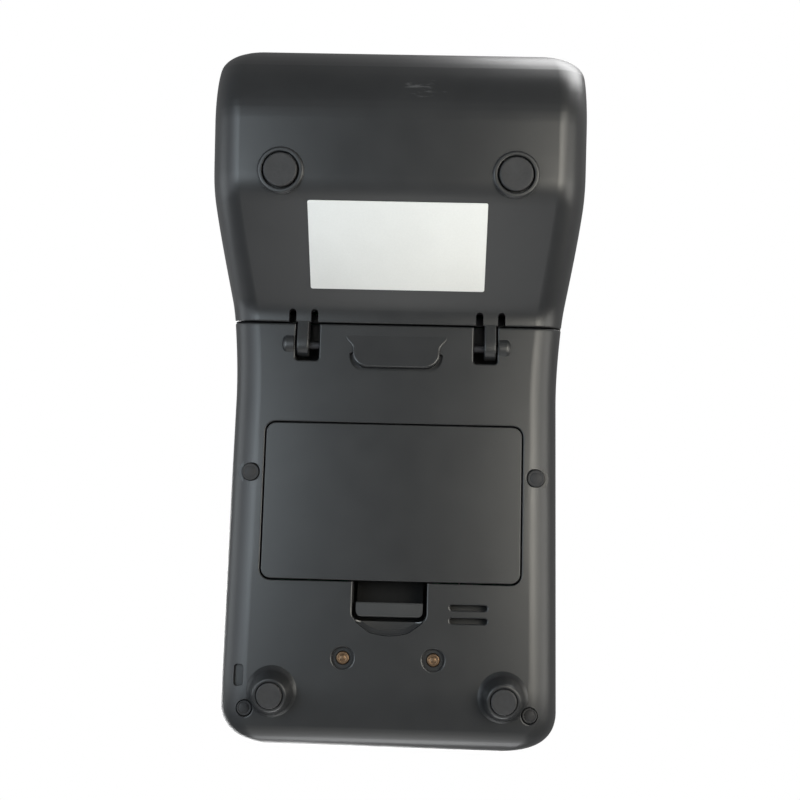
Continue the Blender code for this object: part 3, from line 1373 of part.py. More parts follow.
def centre_distance(first, second):
    return GEAR_MODULE * (first + second) / 2 + MESH_CLEARANCE


IDLER_PLACE = beside(PLATEN_PLACE, IDLER_DIRECTION, centre_distance(PLATEN_TEETH, IDLER_TEETH))
PINION_PLACE = beside(IDLER_PLACE, PINION_DIRECTION, centre_distance(IDLER_TEETH, PINION_TEETH))


def gears(platen_spin):
    low, high = GEAR_PLANE_X, GEAR_PLANE_X + GEAR_THICKNESS
    bore = SHAFT_RADIUS + RUNNING_CLEARANCE
    wheel = toothed(PLATEN_TEETH, bore, low, high, PLATEN_PLACE, IDLER_DIRECTION)
    solid("platen_gear", wheel, NYLON, platen_spin, smooth=False)
    half_tooth = math.pi / IDLER_TEETH
    idler_phase = IDLER_DIRECTION + math.pi + half_tooth
    spin = pivot("idler_spin", (0, *IDLER_PLACE))
    wheel = toothed(IDLER_TEETH, IDLER_PIN_RADIUS + RUNNING_CLEARANCE, low, high, IDLER_PLACE, idler_phase)
    solid("idler_gear", wheel, NYLON, spin, smooth=False)
    # The idler's position round the line of centres to the pinion, as a share of one tooth
    teeth_round = (PINION_DIRECTION - idler_phase) / (2 * math.pi) * IDLER_TEETH
    share = teeth_round - math.floor(teeth_round)
    pinion_phase = PINION_DIRECTION + math.pi + (share + 0.5) * 2 * math.pi / PINION_TEETH
    spin = pivot("pinion_spin", (0, *PINION_PLACE))
    wheel = toothed(PINION_TEETH, MOTOR_SHAFT_RADIUS + RUNNING_CLEARANCE, low, high, PINION_PLACE, pinion_phase)
    solid("motor_pinion", wheel, STEEL, spin, smooth=False)


def platen(cover_hinge):
    spin = pivot("platen_spin", (0, *PLATEN_PLACE))
    low = -(EAR_LOW_X + EAR_THICKNESS + GAP)
    high = EAR_LOW_X + EAR_THICKNESS + GAP
    solid("platen_shaft", turned_x([(SHAFT_RADIUS, low), (SHAFT_RADIUS, high)], PLATEN_PLACE), STEEL, spin)
    sleeve = pipe_x(
        PLATEN_RADIUS,
        SHAFT_RADIUS + RUNNING_CLEARANCE,
        -PLATEN_LENGTH / 2,
        PLATEN_LENGTH / 2,
        PLATEN_PLACE,
    )
    solid("platen_roller", sleeve, DARK_RUBBER, spin)
    for name, side in (("right", 1), ("left", -1)):
        ends = sorted((side * EAR_LOW_X, side * (EAR_LOW_X + EAR_THICKNESS)))
        ring = pipe_x(BUSHING_RADIUS, SHAFT_RADIUS + RUNNING_CLEARANCE, *ends, PLATEN_PLACE)
        solid("platen_bushing_" + name, ring, NYLON, cover_hinge)
    return spin


def printer():
    outer_x = FRAME_INNER_X + FRAME_PLATE_THICKNESS
    # A cross beam with a side plate at each end
    beam = [
        (FRAME_LOW_Y, FRAME_LOW_LIFT),
        (FRAME_LOW_Y + BEAM_DEPTH, FRAME_LOW_LIFT),
        (FRAME_LOW_Y + BEAM_DEPTH, FRAME_TOP_LIFT),
        (FRAME_LOW_Y, FRAME_TOP_LIFT),
    ]
    frame = solid("printer_frame", along_x(beam, -outer_x, outer_x), STEEL)
    notch_y = FRAME_HIGH_Y - BEAM_DEPTH
    plate = [
        (FRAME_LOW_Y + GAP, FRAME_LOW_LIFT + GAP),
        (notch_y, FRAME_LOW_LIFT - GAP),
        (FRAME_HIGH_Y, FRAME_TOP_LIFT - BEAM_DEPTH),
        (FRAME_HIGH_Y, FRAME_TOP_LIFT - GAP),
        (FRAME_LOW_Y + GAP, FRAME_TOP_LIFT - GAP),
    ]
    sides = []
    for side in (1, -1):
        sides.append(along_x(plate, side * FRAME_INNER_X, side * (outer_x + GAP / 10)))
    change(frame, "UNION", "frame_sides", gathered(sides))
    reach = GEAR_PLANE_X + GEAR_THICKNESS
    pin = turned_x([(IDLER_PIN_RADIUS, FRAME_INNER_X + GAP), (IDLER_PIN_RADIUS, reach)], IDLER_PLACE, SMALL_SIDES)
    motor_face = GEAR_PLANE_X + GEAR_THICKNESS + GAP
    stand_place = (FRAME_LOW_Y + STAND_RADIUS + RUNNING_CLEARANCE, PINION_PLACE[1])
    stand = turned_x(
        [(STAND_RADIUS, FRAME_INNER_X + GAP), (STAND_RADIUS, motor_face - GAP)], stand_place, SMALL_SIDES
    )
    change(frame, "UNION", "frame_pins", gathered([pin, stand]))
    head_front = PLATEN_Y - PLATEN_RADIUS - GAP
    head_low = PLATEN_LIFT - HEAD_LOW_DROP
    head_back = FRAME_LOW_Y + BEAM_DEPTH + GAP
    head = [
        (head_front - HEAD_THICKNESS, head_low),
        (head_front, head_low),
        (head_front, PLATEN_LIFT + HEAD_RISE),
        (head_back, PLATEN_LIFT + HEAD_RISE),
        (head_back, PLATEN_LIFT + HEAD_RISE - HEAD_THICKNESS),
        (head_front - HEAD_THICKNESS, PLATEN_LIFT + HEAD_RISE - HEAD_THICKNESS),
    ]
    solid("print_head", along_x(head, -HEAD_LENGTH / 2, HEAD_LENGTH / 2), STEEL)
    flange_end = motor_face + MOTOR_FLANGE_THICKNESS
    can = turned_x(
        [
            (MOTOR_SHAFT_RADIUS, GEAR_PLANE_X),
            (MOTOR_SHAFT_RADIUS, motor_face),
            (MOTOR_RADIUS - GAP, motor_face),
            (MOTOR_RADIUS - GAP, flange_end),
            (MOTOR_RADIUS, flange_end),
            (MOTOR_RADIUS, flange_end + MOTOR_LENGTH),
        ],
        PINION_PLACE,
    )
    motor = solid("stepper_motor", can, STEEL)
    flange = [
        (PINION_PLACE[0] - MOTOR_FLANGE_REACH, PINION_PLACE[1] - MOTOR_RADIUS / 2),
        (PINION_PLACE[0], PINION_PLACE[1] - MOTOR_RADIUS / 2),
        (PINION_PLACE[0], PINION_PLACE[1] + MOTOR_RADIUS / 2),
        (PINION_PLACE[0] - MOTOR_FLANGE_REACH, PINION_PLACE[1] + MOTOR_RADIUS / 2),
    ]
    wing = along_x(flange, motor_face + GAP / 3, flange_end - GAP / 3)
    change(motor, "UNION", "motor_wing", wing)


def tear_bar():
    """A serrated steel strip on the edge of the paper exit."""
    top_line, _ = topside(0.0)
    top = top_line(SLOT_START_Y)
    low = top - TEAR_BAR_HEIGHT
    count = round(PLATEN_LENGTH / TEAR_TOOTH_PITCH)
    pitch = PLATEN_LENGTH / count
    outline = [(-PLATEN_LENGTH / 2, low), (PLATEN_LENGTH / 2, low)]
    for i in range(count, 0, -1):
        right = -PLATEN_LENGTH / 2 + i * pitch
        outline += [(right, top - TEAR_TOOTH), (right - pitch / 2, top)]
    outline.append((-PLATEN_LENGTH / 2, top - TEAR_TOOTH))
    low_y = SLOT_START_Y + GAP
    rings = [[(x, y, z) for x, z in outline] for y in (low_y, low_y + TEAR_BAR_THICKNESS)]
    solid("tear_bar", loft(rings), STEEL, smooth=False)


def main():
    for obj in list(bpy.data.objects):
        bpy.data.objects.remove(obj)
    cover_hinge = pivot("cover_hinge", HINGE_PLACE)
    battery_place = SLAB_AXES @ Vector((0, BATTERY_COVER_HIGH_S - BATTERY_COVER_PIVOT, 0))
    battery_hinge = pivot("battery_cover_hinge", battery_place, tilted=True)
    rear_housing()
    front_housing()
    printer_cover(cover_hinge)
    hinge_pins()
    feet(cover_hinge)
    label(cover_hinge)
    screws_and_plugs()
    battery_cover(battery_hinge)
    battery_latch(battery_hinge)
    battery_pack()
    speaker_and_contacts()
    keys()
    boards()
    display()
    card_reader()
    paper_compartment()
    gears(platen(cover_hinge))
    printer()
    tear_bar()
    print("cover hinge axis", tuple(HINGE_PLACE))
    print("battery cover axis", tuple(battery_place))
    print("idler", IDLER_PLACE, "pinion", PINION_PLACE, "roll", ROLL_PLACE)


main()
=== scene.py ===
# Looks for a handheld card payment terminal, seen from below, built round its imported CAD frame.
# Lengths are in millimetres until a mesh is made; the frame is in metres, with the table at z = 0.
import math

import bmesh
import bpy
import numpy as np
from mathutils import Matrix, Vector


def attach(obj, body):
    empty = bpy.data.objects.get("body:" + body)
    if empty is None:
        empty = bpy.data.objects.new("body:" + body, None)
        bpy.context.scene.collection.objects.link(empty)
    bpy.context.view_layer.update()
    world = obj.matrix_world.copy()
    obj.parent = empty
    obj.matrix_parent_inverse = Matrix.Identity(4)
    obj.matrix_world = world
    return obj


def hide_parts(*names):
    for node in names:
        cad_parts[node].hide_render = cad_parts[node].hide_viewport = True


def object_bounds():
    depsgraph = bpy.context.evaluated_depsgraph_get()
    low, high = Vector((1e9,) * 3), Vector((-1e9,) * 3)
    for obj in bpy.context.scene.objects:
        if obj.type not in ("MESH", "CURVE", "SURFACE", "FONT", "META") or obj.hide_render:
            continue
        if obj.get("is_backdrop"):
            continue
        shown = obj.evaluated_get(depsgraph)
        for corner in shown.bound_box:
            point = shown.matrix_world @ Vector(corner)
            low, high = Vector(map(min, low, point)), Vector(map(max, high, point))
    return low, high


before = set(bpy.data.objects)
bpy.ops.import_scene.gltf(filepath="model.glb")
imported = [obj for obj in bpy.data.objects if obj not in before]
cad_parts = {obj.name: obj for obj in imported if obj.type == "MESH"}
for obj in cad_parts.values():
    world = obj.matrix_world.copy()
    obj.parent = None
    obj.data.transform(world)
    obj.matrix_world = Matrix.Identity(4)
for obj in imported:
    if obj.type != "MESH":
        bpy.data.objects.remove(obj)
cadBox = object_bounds()
print("frame loaded:", len(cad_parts), "nodes")

mm = 0.001
hair = 0.004  # how far inside a surface a rounding stops, so that the two cross cleanly
scene = bpy.context.scene
scene.view_settings.view_transform = "Standard"


# The body's form, the same as in the CAD; heights are above the table
bodyForm = {
    "lowEnd": -75.0,
    "farEnd": 75.0,
    "waistWidth": 71.0,
    "humpWidth": 79.7,
    "spread": 0.65,
    "tilt": math.radians(10),
    "lift": 2.8,
    "thickness": 21.9,
    "parting": 9.6,
    "humpLift": 1.2,
    "humpSlope": math.radians(36.3),
    "slopeFoot": 42.1,
    "humpCurve": 56.5,
    "widestLift": 27.0,
    "flare": (-1.7, 47.8),  # from waist to hump, y
    "step": ((36.0, 44.0), (52.5, 55.5)),  # y of foot and head; z of head and far end
    "lowPlan": 7.5,
    "farPlan": 6.0,
    "lowEndRadius": 5.0,
    "topEndRadius": 4.5,
    "edgeWidth": (6.5, 7.0),  # at the waist, at the hump
    "edgeHeight": (8.0, 13.0),
    "topEdge": 5.0,
    "fillets": (7.0, 10.0),
    "stepFillet": 6.0,
    "seam": (14.8, 15.1),  # y of the gap between casing and cover
    "wall": 2.0,
    "cornerSteps": 14,
}
cosTilt, sinTilt = math.cos(bodyForm["tilt"]), math.sin(bodyForm["tilt"])


def slabPoints(points):
    # (x, s, h) in slab axes to (x, y, z): s runs up the slope, h goes square into the casing
    x, s, h = np.moveaxis(np.asarray(points, float), -1, 0)
    y = bodyForm["lowEnd"] + s * cosTilt - h * sinTilt
    z = bodyForm["lift"] + s * sinTilt + h * cosTilt
    return np.stack([x, y, z], axis=-1)


def slabS(y):
    return (y - bodyForm["lowEnd"]) / cosTilt


seamS = slabS(sum(bodyForm["seam"]) / 2)
hingeS, hingeH = seamS - 4.7, 1.7


def newObject(name, data):
    made = bpy.data.objects.new(name, data)
    scene.collection.objects.link(made)
    return made


def evaluated(target):
    # a mesh of its own, with the modifiers worked in
    graph = bpy.context.evaluated_depsgraph_get()
    return bpy.data.meshes.new_from_object(target.evaluated_get(graph))


def settled(target, data):
    # the new mesh takes the place of the old one and its modifiers
    old = target.data
    target.modifiers.clear()
    target.data = data
    data.name = target.name
    bpy.data.meshes.remove(old)
    return target


def meshObject(name, points, faces, smooth=35):
    # millimetre points and a list of faces become an object at the origin
    data = bpy.data.meshes.new(name)
    data.from_pydata(np.asarray(points, float).reshape(-1, 3) * mm, [], faces)
    work = bmesh.new()
    work.from_mesh(data)
    bmesh.ops.recalc_face_normals(work, faces=work.faces)
    work.to_mesh(data)
    work.free()
    made = newObject(name, data)
    if smooth:
        data.shade_smooth()
        data.set_sharp_from_angle(angle=math.radians(smooth))
    return made


def skin(name, rings, smooth=35):
    # a stack of closed rings, shape (rows, around, 3): four-sided faces between neighbours, and two caps
    rings = np.asarray(rings, float)
    rows, around = rings.shape[:2]
    i, j = np.meshgrid(np.arange(rows - 1), np.arange(around), indexing="ij")
    k = (j + 1) % around
    quads = np.stack([i * around + j, i * around + k, (i + 1) * around + k, (i + 1) * around + j], axis=-1)
    caps = [list(range(around)), list(range((rows - 1) * around, rows * around))]
    return meshObject(name, rings, quads.reshape(-1, 4).tolist() + caps, smooth)


def circle(radius, around=64, centre=(0.0, 0.0), start=0.0, sweep=2 * math.pi):
    # centre plus radius times (cos, sin), over the sweep
    closed = abs(sweep - 2 * math.pi) < 1e-9
    turn = start + sweep * np.linspace(0, 1, around, endpoint=not closed)
    return np.stack([centre[0] + radius * np.cos(turn), centre[1] + radius * np.sin(turn)], axis=-1)


def roundedOutline(width, length, corner, centre=(0.0, 0.0), grow=0.0, steps=10):
    # four quarter circles at the corners of a rectangle that grows by grow on every side
    corner = max(corner + grow, 0.02)
    across, along = width / 2 + grow - corner, length / 2 + grow - corner
    parts = []
    for i, (sideX, sideY) in enumerate(((1, 1), (-1, 1), (-1, -1), (1, -1))):
        middle = (centre[0] + sideX * across, centre[1] + sideY * along)
        parts.append(circle(corner, steps, middle, i * math.pi / 2, math.pi / 2 - 1e-6))
    return np.concatenate(parts)


def atHeight(flat, height):
    # the points of a flat outline, all at one height
    return np.column_stack([flat, np.full(len(flat), height)])


def stack(outline, levels):
    # outline(grow) at each (height, grow) level gives one ring of (a, b, height)
    return np.array([atHeight(outline(grow), height) for height, grow in levels])


def quarter(radius, steps=5):
    # a quarter round as pairs radius times (1 - sin, 1 - cos), from (radius, 0) to (0, radius)
    turn = np.linspace(0, math.pi / 2, steps)
    return [(radius * (1 - math.sin(t)), radius * (1 - math.cos(t))) for t in turn]


def mouth(depth, radius):
    # levels of a cutter from depth out past the surface at 0, whose edge there is rounded by radius
    # the rounding ends a hair inside, so that the surface meets the cutter's straight wall
    return [(depth, 0.0)] + [(hair + down, out) for down, out in quarter(radius)] + [(-3.0, radius)]


def plate(low, high, radius, steps):
    # levels of a plate from low to high whose lower edge is rounded by radius
    return [(low + up, -back) for up, back in quarter(radius, steps)[::-1]] + [(high, 0.0)]


def rimLevels(high, radius, steps):
    # the last levels of a piece that ends at high with its edge rounded by radius
    turn = np.linspace(0, math.pi / 2, steps)[1:]
    return [(high - radius + radius * math.sin(t), -radius * (1 - math.cos(t))) for t in turn]


def turnedRings(profile, centre, around=48):
    # (radius, height) pairs turned about an upright axis at centre
    return np.array([atHeight(circle(radius, around, centre), height) for radius, height in profile])


def sidewaysRings(profile, centre, around=48):
    # (radius, x) pairs turned about an axis along X at centre (second and third coordinate)
    return np.array([np.column_stack([np.full(around, x), circle(r, around, centre)]) for r, x in profile])


def sideways(outline, low, high):
    # an outline of (second, third) coordinates pushed along X
    flat = np.asarray(outline, float)
    return np.array([np.column_stack([np.full(len(flat), x), flat]) for x in (low, high)])


def block(width, lowS, highS, lowH, highH, x=0.0):
    outline = roundedOutline(width, highS - lowS, 0.02, (x, (lowS + highS) / 2), steps=1)
    return stack(lambda grow: outline, [(lowH, 0), (highH, 0)])


def faceMarks(mesh, value):
    # every face gets one material number, with empty slots to hold it
    mesh.materials.clear()
    mesh.materials.append(None)
    mesh.materials.append(None)
    mesh.polygons.foreach_set("material_index", np.full(len(mesh.polygons), value, np.int32))


def readAll(group, name, kind=np.int32):
    # one property of all edges, faces or corners
    values = np.zeros(len(group), kind)
    group.foreach_get(name, values)
    return values


def meetings(mesh):
    # the edges where faces of two different marks meet
    marks = np.repeat(readAll(mesh.polygons, "material_index"), readAll(mesh.polygons, "loop_total"))
    edges = readAll(mesh.loops, "edge_index")
    least, most = np.full(len(mesh.edges), 9), np.full(len(mesh.edges), -9)
    np.minimum.at(least, edges, marks)
    np.maximum.at(most, edges, marks)
    return most > least


def carve(target, tool, operation="DIFFERENCE"):
    # one Boolean, applied at once; the tool is used up, points it left apart are closed, and the line where
    # it cut is kept as a seam
    faceMarks(target.data, 0)
    faceMarks(tool.data, 1)
    modifier = target.modifiers.new("carve", "BOOLEAN")
    modifier.operation = operation
    modifier.object = tool
    modifier.solver = "EXACT"
    data = evaluated(target)
    work = bmesh.new()
    work.from_mesh(data)
    bmesh.ops.remove_doubles(work, verts=work.verts, dist=0.0003 * mm)
    work.to_mesh(data)
    work.free()
    data.edges.foreach_set("use_seam", readAll(data.edges, "use_seam", bool) | meetings(data))
    settled(target, data)
    bpy.data.objects.remove(tool)


def softened(target, angle=35):
    # shade smooth up to the angle and never across a cut; big faces keep their own direction, and the
    # roundings beside them take up the turn
    data = target.data
    data.materials.clear()
    data.shade_smooth()
    data.set_sharp_from_angle(angle=math.radians(angle))
    sharp = readAll(data.edges, "use_edge_sharp", bool) | readAll(data.edges, "use_seam", bool)
    data.edges.foreach_set("use_edge_sharp", sharp)
    modifier = target.modifiers.new("normals", "WEIGHTED_NORMAL")
    modifier.keep_sharp = True
    modifier.weight = 60
    return settled(target, evaluated(target))


def foldedHeight(y, lines, radii, side, inset):
    # straight lines (slope, height at y = 0) joined by fillets; all of it stands back by inset
    # side is 1 for the underside and -1 for the top
    moved = [(slope, height + side * inset * math.hypot(1, slope)) for slope, height in lines]
    result = moved[0][0] * y + moved[0][1]
    for first, second, radius in zip(moved, moved[1:], radii):
        peak = 1 if first[0] > second[0] else -1
        bend = np.maximum(radius + side * peak * inset, 0.1)
        shifted = [height - peak * bend * math.hypot(1, slope) for slope, height in (first, second)]
        middleY = (shifted[1] - shifted[0]) / (first[0] - second[0])
        middleZ = first[0] * middleY + shifted[0]
        start = middleY - peak * bend * math.sin(math.atan(first[0]))
        end = middleY - peak * bend * math.sin(math.atan(second[0]))
        arc = middleZ + peak * np.sqrt(np.maximum(bend**2 - (y - middleY) ** 2, 0))
        result = np.where(y >= start, arc, result)
        result = np.where(y > end, second[0] * y + second[1], result)
    return result


def undersideHeight(y, inset=0.0):
    # slab line, fillet, slope, fillet, flat, and a quarter ellipse up the far end
    form = bodyForm
    rise, drop = math.tan(form["tilt"]), -math.tan(form["humpSlope"])
    lines = [
        (rise, form["lift"] - rise * form["lowEnd"]),
        (drop, form["humpLift"] - drop * form["slopeFoot"]),
        (0.0, form["humpLift"]),
    ]
    flatPart = foldedHeight(y, lines, form["fillets"], 1, inset)
    reach = form["farEnd"] - form["humpCurve"] - inset
    share = np.clip((y - form["humpCurve"]) / reach, 0, 1)
    tall = form["widestLift"] - form["humpLift"] - inset
    curve = form["widestLift"] - tall * np.sqrt(1 - share**2)
    return np.where(y > form["humpCurve"], curve, flatPart)


def topHeight(y, inset=0.0):
    # the slab's top line, the step up to the printer's roof, and the roof
    form = bodyForm
    rise = math.tan(form["tilt"])
    start = form["lift"] + form["thickness"] / cosTilt - rise * form["lowEnd"]
    (foot, head), (headZ, farZ) = form["step"]
    footZ = start + rise * foot
    steep = (headZ - footZ) / (head - foot)
    roof = (farZ - headZ) / (form["farEnd"] - head)
    lines = [(rise, start), (steep, footZ - steep * foot), (roof, headZ - roof * head)]
    return foldedHeight(y, lines, (form["stepFillet"], form["stepFillet"]), -1, inset)


def endRound(distance, radius):
    # how far a quarter round of radius stands back at a distance from the end
    short = radius - np.clip(distance, 0, radius)
    return radius - np.sqrt(np.maximum(radius**2 - short**2, 0))


def flareShare(y):
    low, high = bodyForm["flare"]
    share = np.clip((y - low) / (high - low), 0, 1)
    return share**2 * (3 - 2 * share)


def bodyRings(y, inset):
    # one ring for each station y: quarter ellipses at the lower and upper edges, mirrored left to right
    form = bodyForm
    y = np.asarray(y, float)
    inset = np.broadcast_to(np.asarray(inset, float), y.shape)
    fromLow, fromFar = y - form["lowEnd"] - inset, form["farEnd"] - inset - y
    flared = flareShare(y)
    half = (form["waistWidth"] + (form["humpWidth"] - form["waistWidth"]) * flared) / 2 - inset
    start = form["flare"][0]
    half = half + form["spread"] * np.clip((start - y) / (start - form["lowEnd"]), 0, 1)
    half = half - endRound(fromLow, form["lowPlan"] - inset) - endRound(fromFar, form["farPlan"] - inset)
    low = undersideHeight(y, inset) + endRound(fromLow, form["lowEndRadius"] - inset)
    high = topHeight(y, inset) - endRound(fromLow, form["topEndRadius"] - inset)
    high = high - endRound(fromFar, form["topEndRadius"] - inset)
    edgeWidth = form["edgeWidth"][0] + (form["edgeWidth"][1] - form["edgeWidth"][0]) * flared - inset
    edgeHeight = form["edgeHeight"][0] + (form["edgeHeight"][1] - form["edgeHeight"][0]) * flared - inset
    topEdge = form["topEdge"] - inset
    squeeze = np.minimum(1.0, 0.95 * (high - low) / (edgeHeight + topEdge))
    edgeHeight, topTall = edgeHeight * squeeze, topEdge * squeeze
    turn = np.linspace(0, math.pi / 2, form["cornerSteps"])[None, :]
    half, low, high, topEdge, topTall = (value[:, None] for value in (half, low, high, topEdge, topTall))
    edgeWidth, edgeHeight = edgeWidth[:, None], edgeHeight[:, None]
    x = np.concatenate([half - edgeWidth * (1 - np.sin(turn)), half - topEdge * (1 - np.cos(turn))], axis=1)
    z = np.concatenate([low + edgeHeight * (1 - np.cos(turn)), high - topTall * (1 - np.sin(turn))], axis=1)
    x = np.concatenate([x, -x[:, ::-1]], axis=1)
    z = np.concatenate([z, z[:, ::-1]], axis=1)
    return np.stack([x, np.broadcast_to(y[:, None], x.shape), z], axis=-1)


def stations(low, high, inset):
    # where to put rings: dense round the ends, the fillets and the step, and along the hump's curve
    form = bodyForm
    near = 1 - np.cos(np.linspace(0, math.pi / 2, 14))
    y = np.concatenate(
        [
            form["lowEnd"] + inset + (form["lowPlan"] - inset) * near,
            form["lowEnd"] + inset + (form["lowEndRadius"] - inset) * near,
            form["farEnd"] - inset - (form["farPlan"] - inset) * near,
            form["farEnd"] - inset - (form["farEnd"] - form["humpCurve"] - inset) * near,
            np.linspace(-64, 6, 15),
            np.linspace(-2, 60, 63),
            np.linspace(11, 22, 23),
            np.linspace(32, 47, 31),
        ]
    )
    y = np.unique(np.round(y[(y > low + 0.12) & (y < high - 0.12)], 3))
    keep = np.concatenate([[True], np.diff(y) > 0.1])
    return np.concatenate([[low], y[keep], [high]])


def bodyPiece(name, low, high, inset, lipLow=0.0, lipHigh=0.0):
    # the body's skin between two stations; a lip radius rounds that end's edge
    y = stations(low + lipLow, high - lipHigh, inset)
    insets = np.full(len(y), float(inset))
    turn = np.linspace(0, math.pi / 2, 6)[1:]
    if lipHigh:
        y = np.concatenate([y, high - lipHigh * (1 - np.sin(turn))])
        insets = np.concatenate([insets, inset + lipHigh * (1 - np.cos(turn))])
    if lipLow:
        y = np.concatenate([(low + lipLow * (1 - np.sin(turn)))[::-1], y])
        insets = np.concatenate([(inset + lipLow * (1 - np.cos(turn)))[::-1], insets])
    return skin(name, bodyRings(y, insets))


def partingTool(name, above, clearance):
    # all that lies above (or below) the parting plane
    level = bodyForm["parting"] + clearance
    low, high = (level, level + 70) if above else (level - 70, level)
    return skin(name, slabPoints(block(110, -25, 175, low, high)), 0)


def finished(name, made, body, node, material=None):
    # a finished piece takes its name and finish, rides on its body and hides the CAD node it stands for
    made.name = name
    if material:
        made.data.materials.clear()
        made.data.materials.append(material)
    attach(made, body)
    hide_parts(node)


class Wire:
    # one output socket; arithmetic on it adds Math nodes
    def __init__(self, net, socket):
        self.net, self.socket = net, socket

    def maths(self, operation, *others, after=True):
        values = (self, *others) if after else (*others, self)
        return self.net.node("ShaderNodeMath", {"operation": operation}, values)

    def __add__(self, other):
        return self.maths("ADD", other)

    def __radd__(self, other):
        return self.maths("ADD", other, after=False)

    def __sub__(self, other):
        return self.maths("SUBTRACT", other)

    def __rsub__(self, other):
        return self.maths("SUBTRACT", other, after=False)

    def __mul__(self, other):
        return self.maths("MULTIPLY", other)

    def __rmul__(self, other):
        return self.maths("MULTIPLY", other, after=False)

    def __truediv__(self, other):
        return self.maths("DIVIDE", other)

    def __gt__(self, other):
        return self.maths("GREATER_THAN", other)

    def __lt__(self, other):
        return self.maths("LESS_THAN", other)

    def clamped(self, low, high):
        # 0 at low, 1 at high, straight between
        values = {"Value": self, "From Min": low, "From Max": high}
        return self.net.node("ShaderNodeMapRange", {"clamp": True}, values)

    def power(self, exponent):
        return self.maths("POWER", exponent)

    def absolute(self):
        return self.maths("ABSOLUTE")


class Net:
    # the node tree of a new material, or of the world, with its shader
    def __init__(self, name, world=None):
        self.material = world or bpy.data.materials.new(name)
        self.material.use_nodes = True
        self.tree = self.material.node_tree
        self.shader = self.tree.nodes["Background" if world else "Principled BSDF"]
        self.place = None if world else self.node("ShaderNodeTexCoord", {}, {}, "Object")

    def node(self, kind, settings, values=(), output=0):
        # a new node: first its settings, then the values or links of its sockets
        made = self.tree.nodes.new(kind)
        for key, value in settings.items():
            setattr(made, key, value)
        pairs = values.items() if isinstance(values, dict) else enumerate(values)
        for key, value in pairs:
            self.feed(made.inputs[key], value)
        return Wire(self, made.outputs[output])

    def feed(self, socket, value):
        if isinstance(value, Wire):
            self.tree.links.new(value.socket, socket)
        elif value is not None:
            socket.default_value = value

    def noise(self, scale, detail=2.0, roughness=0.5, place=None):
        # scale counts features to the metre
        values = {"Vector": place or self.place, "Scale": scale, "Detail": detail, "Roughness": roughness}
        return self.node("ShaderNodeTexNoise", {}, values, "Fac")

    def mix(self, share, first, second):
        # colours: the first where share is 0, the second where it is 1
        first, second = ((*c, 1) if isinstance(c, tuple) else c for c in (first, second))
        return self.node("ShaderNodeMix", {"data_type": "RGBA"}, {0: share, 6: first, 7: second}, 2)

    def axis(self, place=None):
        split = self.node("ShaderNodeSeparateXYZ", {}, (place or self.place,))
        return [Wire(self, output) for output in split.socket.node.outputs]

    def mapped(self, values):
        return self.node("ShaderNodeMapping", {"vector_type": "POINT"}, values)

    def slabPlace(self):
        # Object coordinates turned into slab axes, in metres
        origin = slabPoints((0, 0, 0)) * mm
        moved = self.node("ShaderNodeVectorMath", {"operation": "SUBTRACT"}, (self.place, tuple(origin)))
        return self.mapped({"Vector": moved, "Rotation": (-bodyForm["tilt"], 0, 0)})

    def bump(self, height, strength, distance):
        values = {"Strength": strength, "Distance": distance, "Height": height}
        return self.node("ShaderNodeBump", {}, values, "Normal")

    def finish(self, colour, roughness, metallic=None, normal=None, coat=None):
        sockets = {
            "Base Color": colour,
            "Roughness": roughness,
            "Metallic": metallic,
            "Normal": normal,
            "Coat Weight": coat,
        }
        for name, value in sockets.items():
            self.feed(self.shader.inputs[name], value)
        return self.material


satin = {
    "dark": (0.0132, 0.0140, 0.0152),
    "light": (0.0188, 0.0196, 0.0208),
    "roughness": (0.32, 0.42),
    "grain": 2400.0,
    "grainDepth": 0.00003,
    "crown": 1.6,
    "endCrown": (-61.5, 13.0),  # from this y downwards, factor
    # painted shade inside the pockets and the tray: how far the colour goes towards near black, that near
    # black, and where it is painted
    "pocketShadeShare": 0.9,
    "pocketShadeColour": (0.001, 0.001, 0.001),
    "pockets": (0.9, 27.3, 24.0, 88.0),  # deeper than, half width, from s, to s
    # the near black of painted shade below a piece's given depth
    "deepShadeColour": (0.0005, 0.0005, 0.0005),
    "scoop": (0.02, 1.5, 7.3, 24.0, 27.6),  # depths, half width, from s, to s
    "scoopGloss": 0.24,
    "scuff": (0.16, 0.165, 0.17),
}


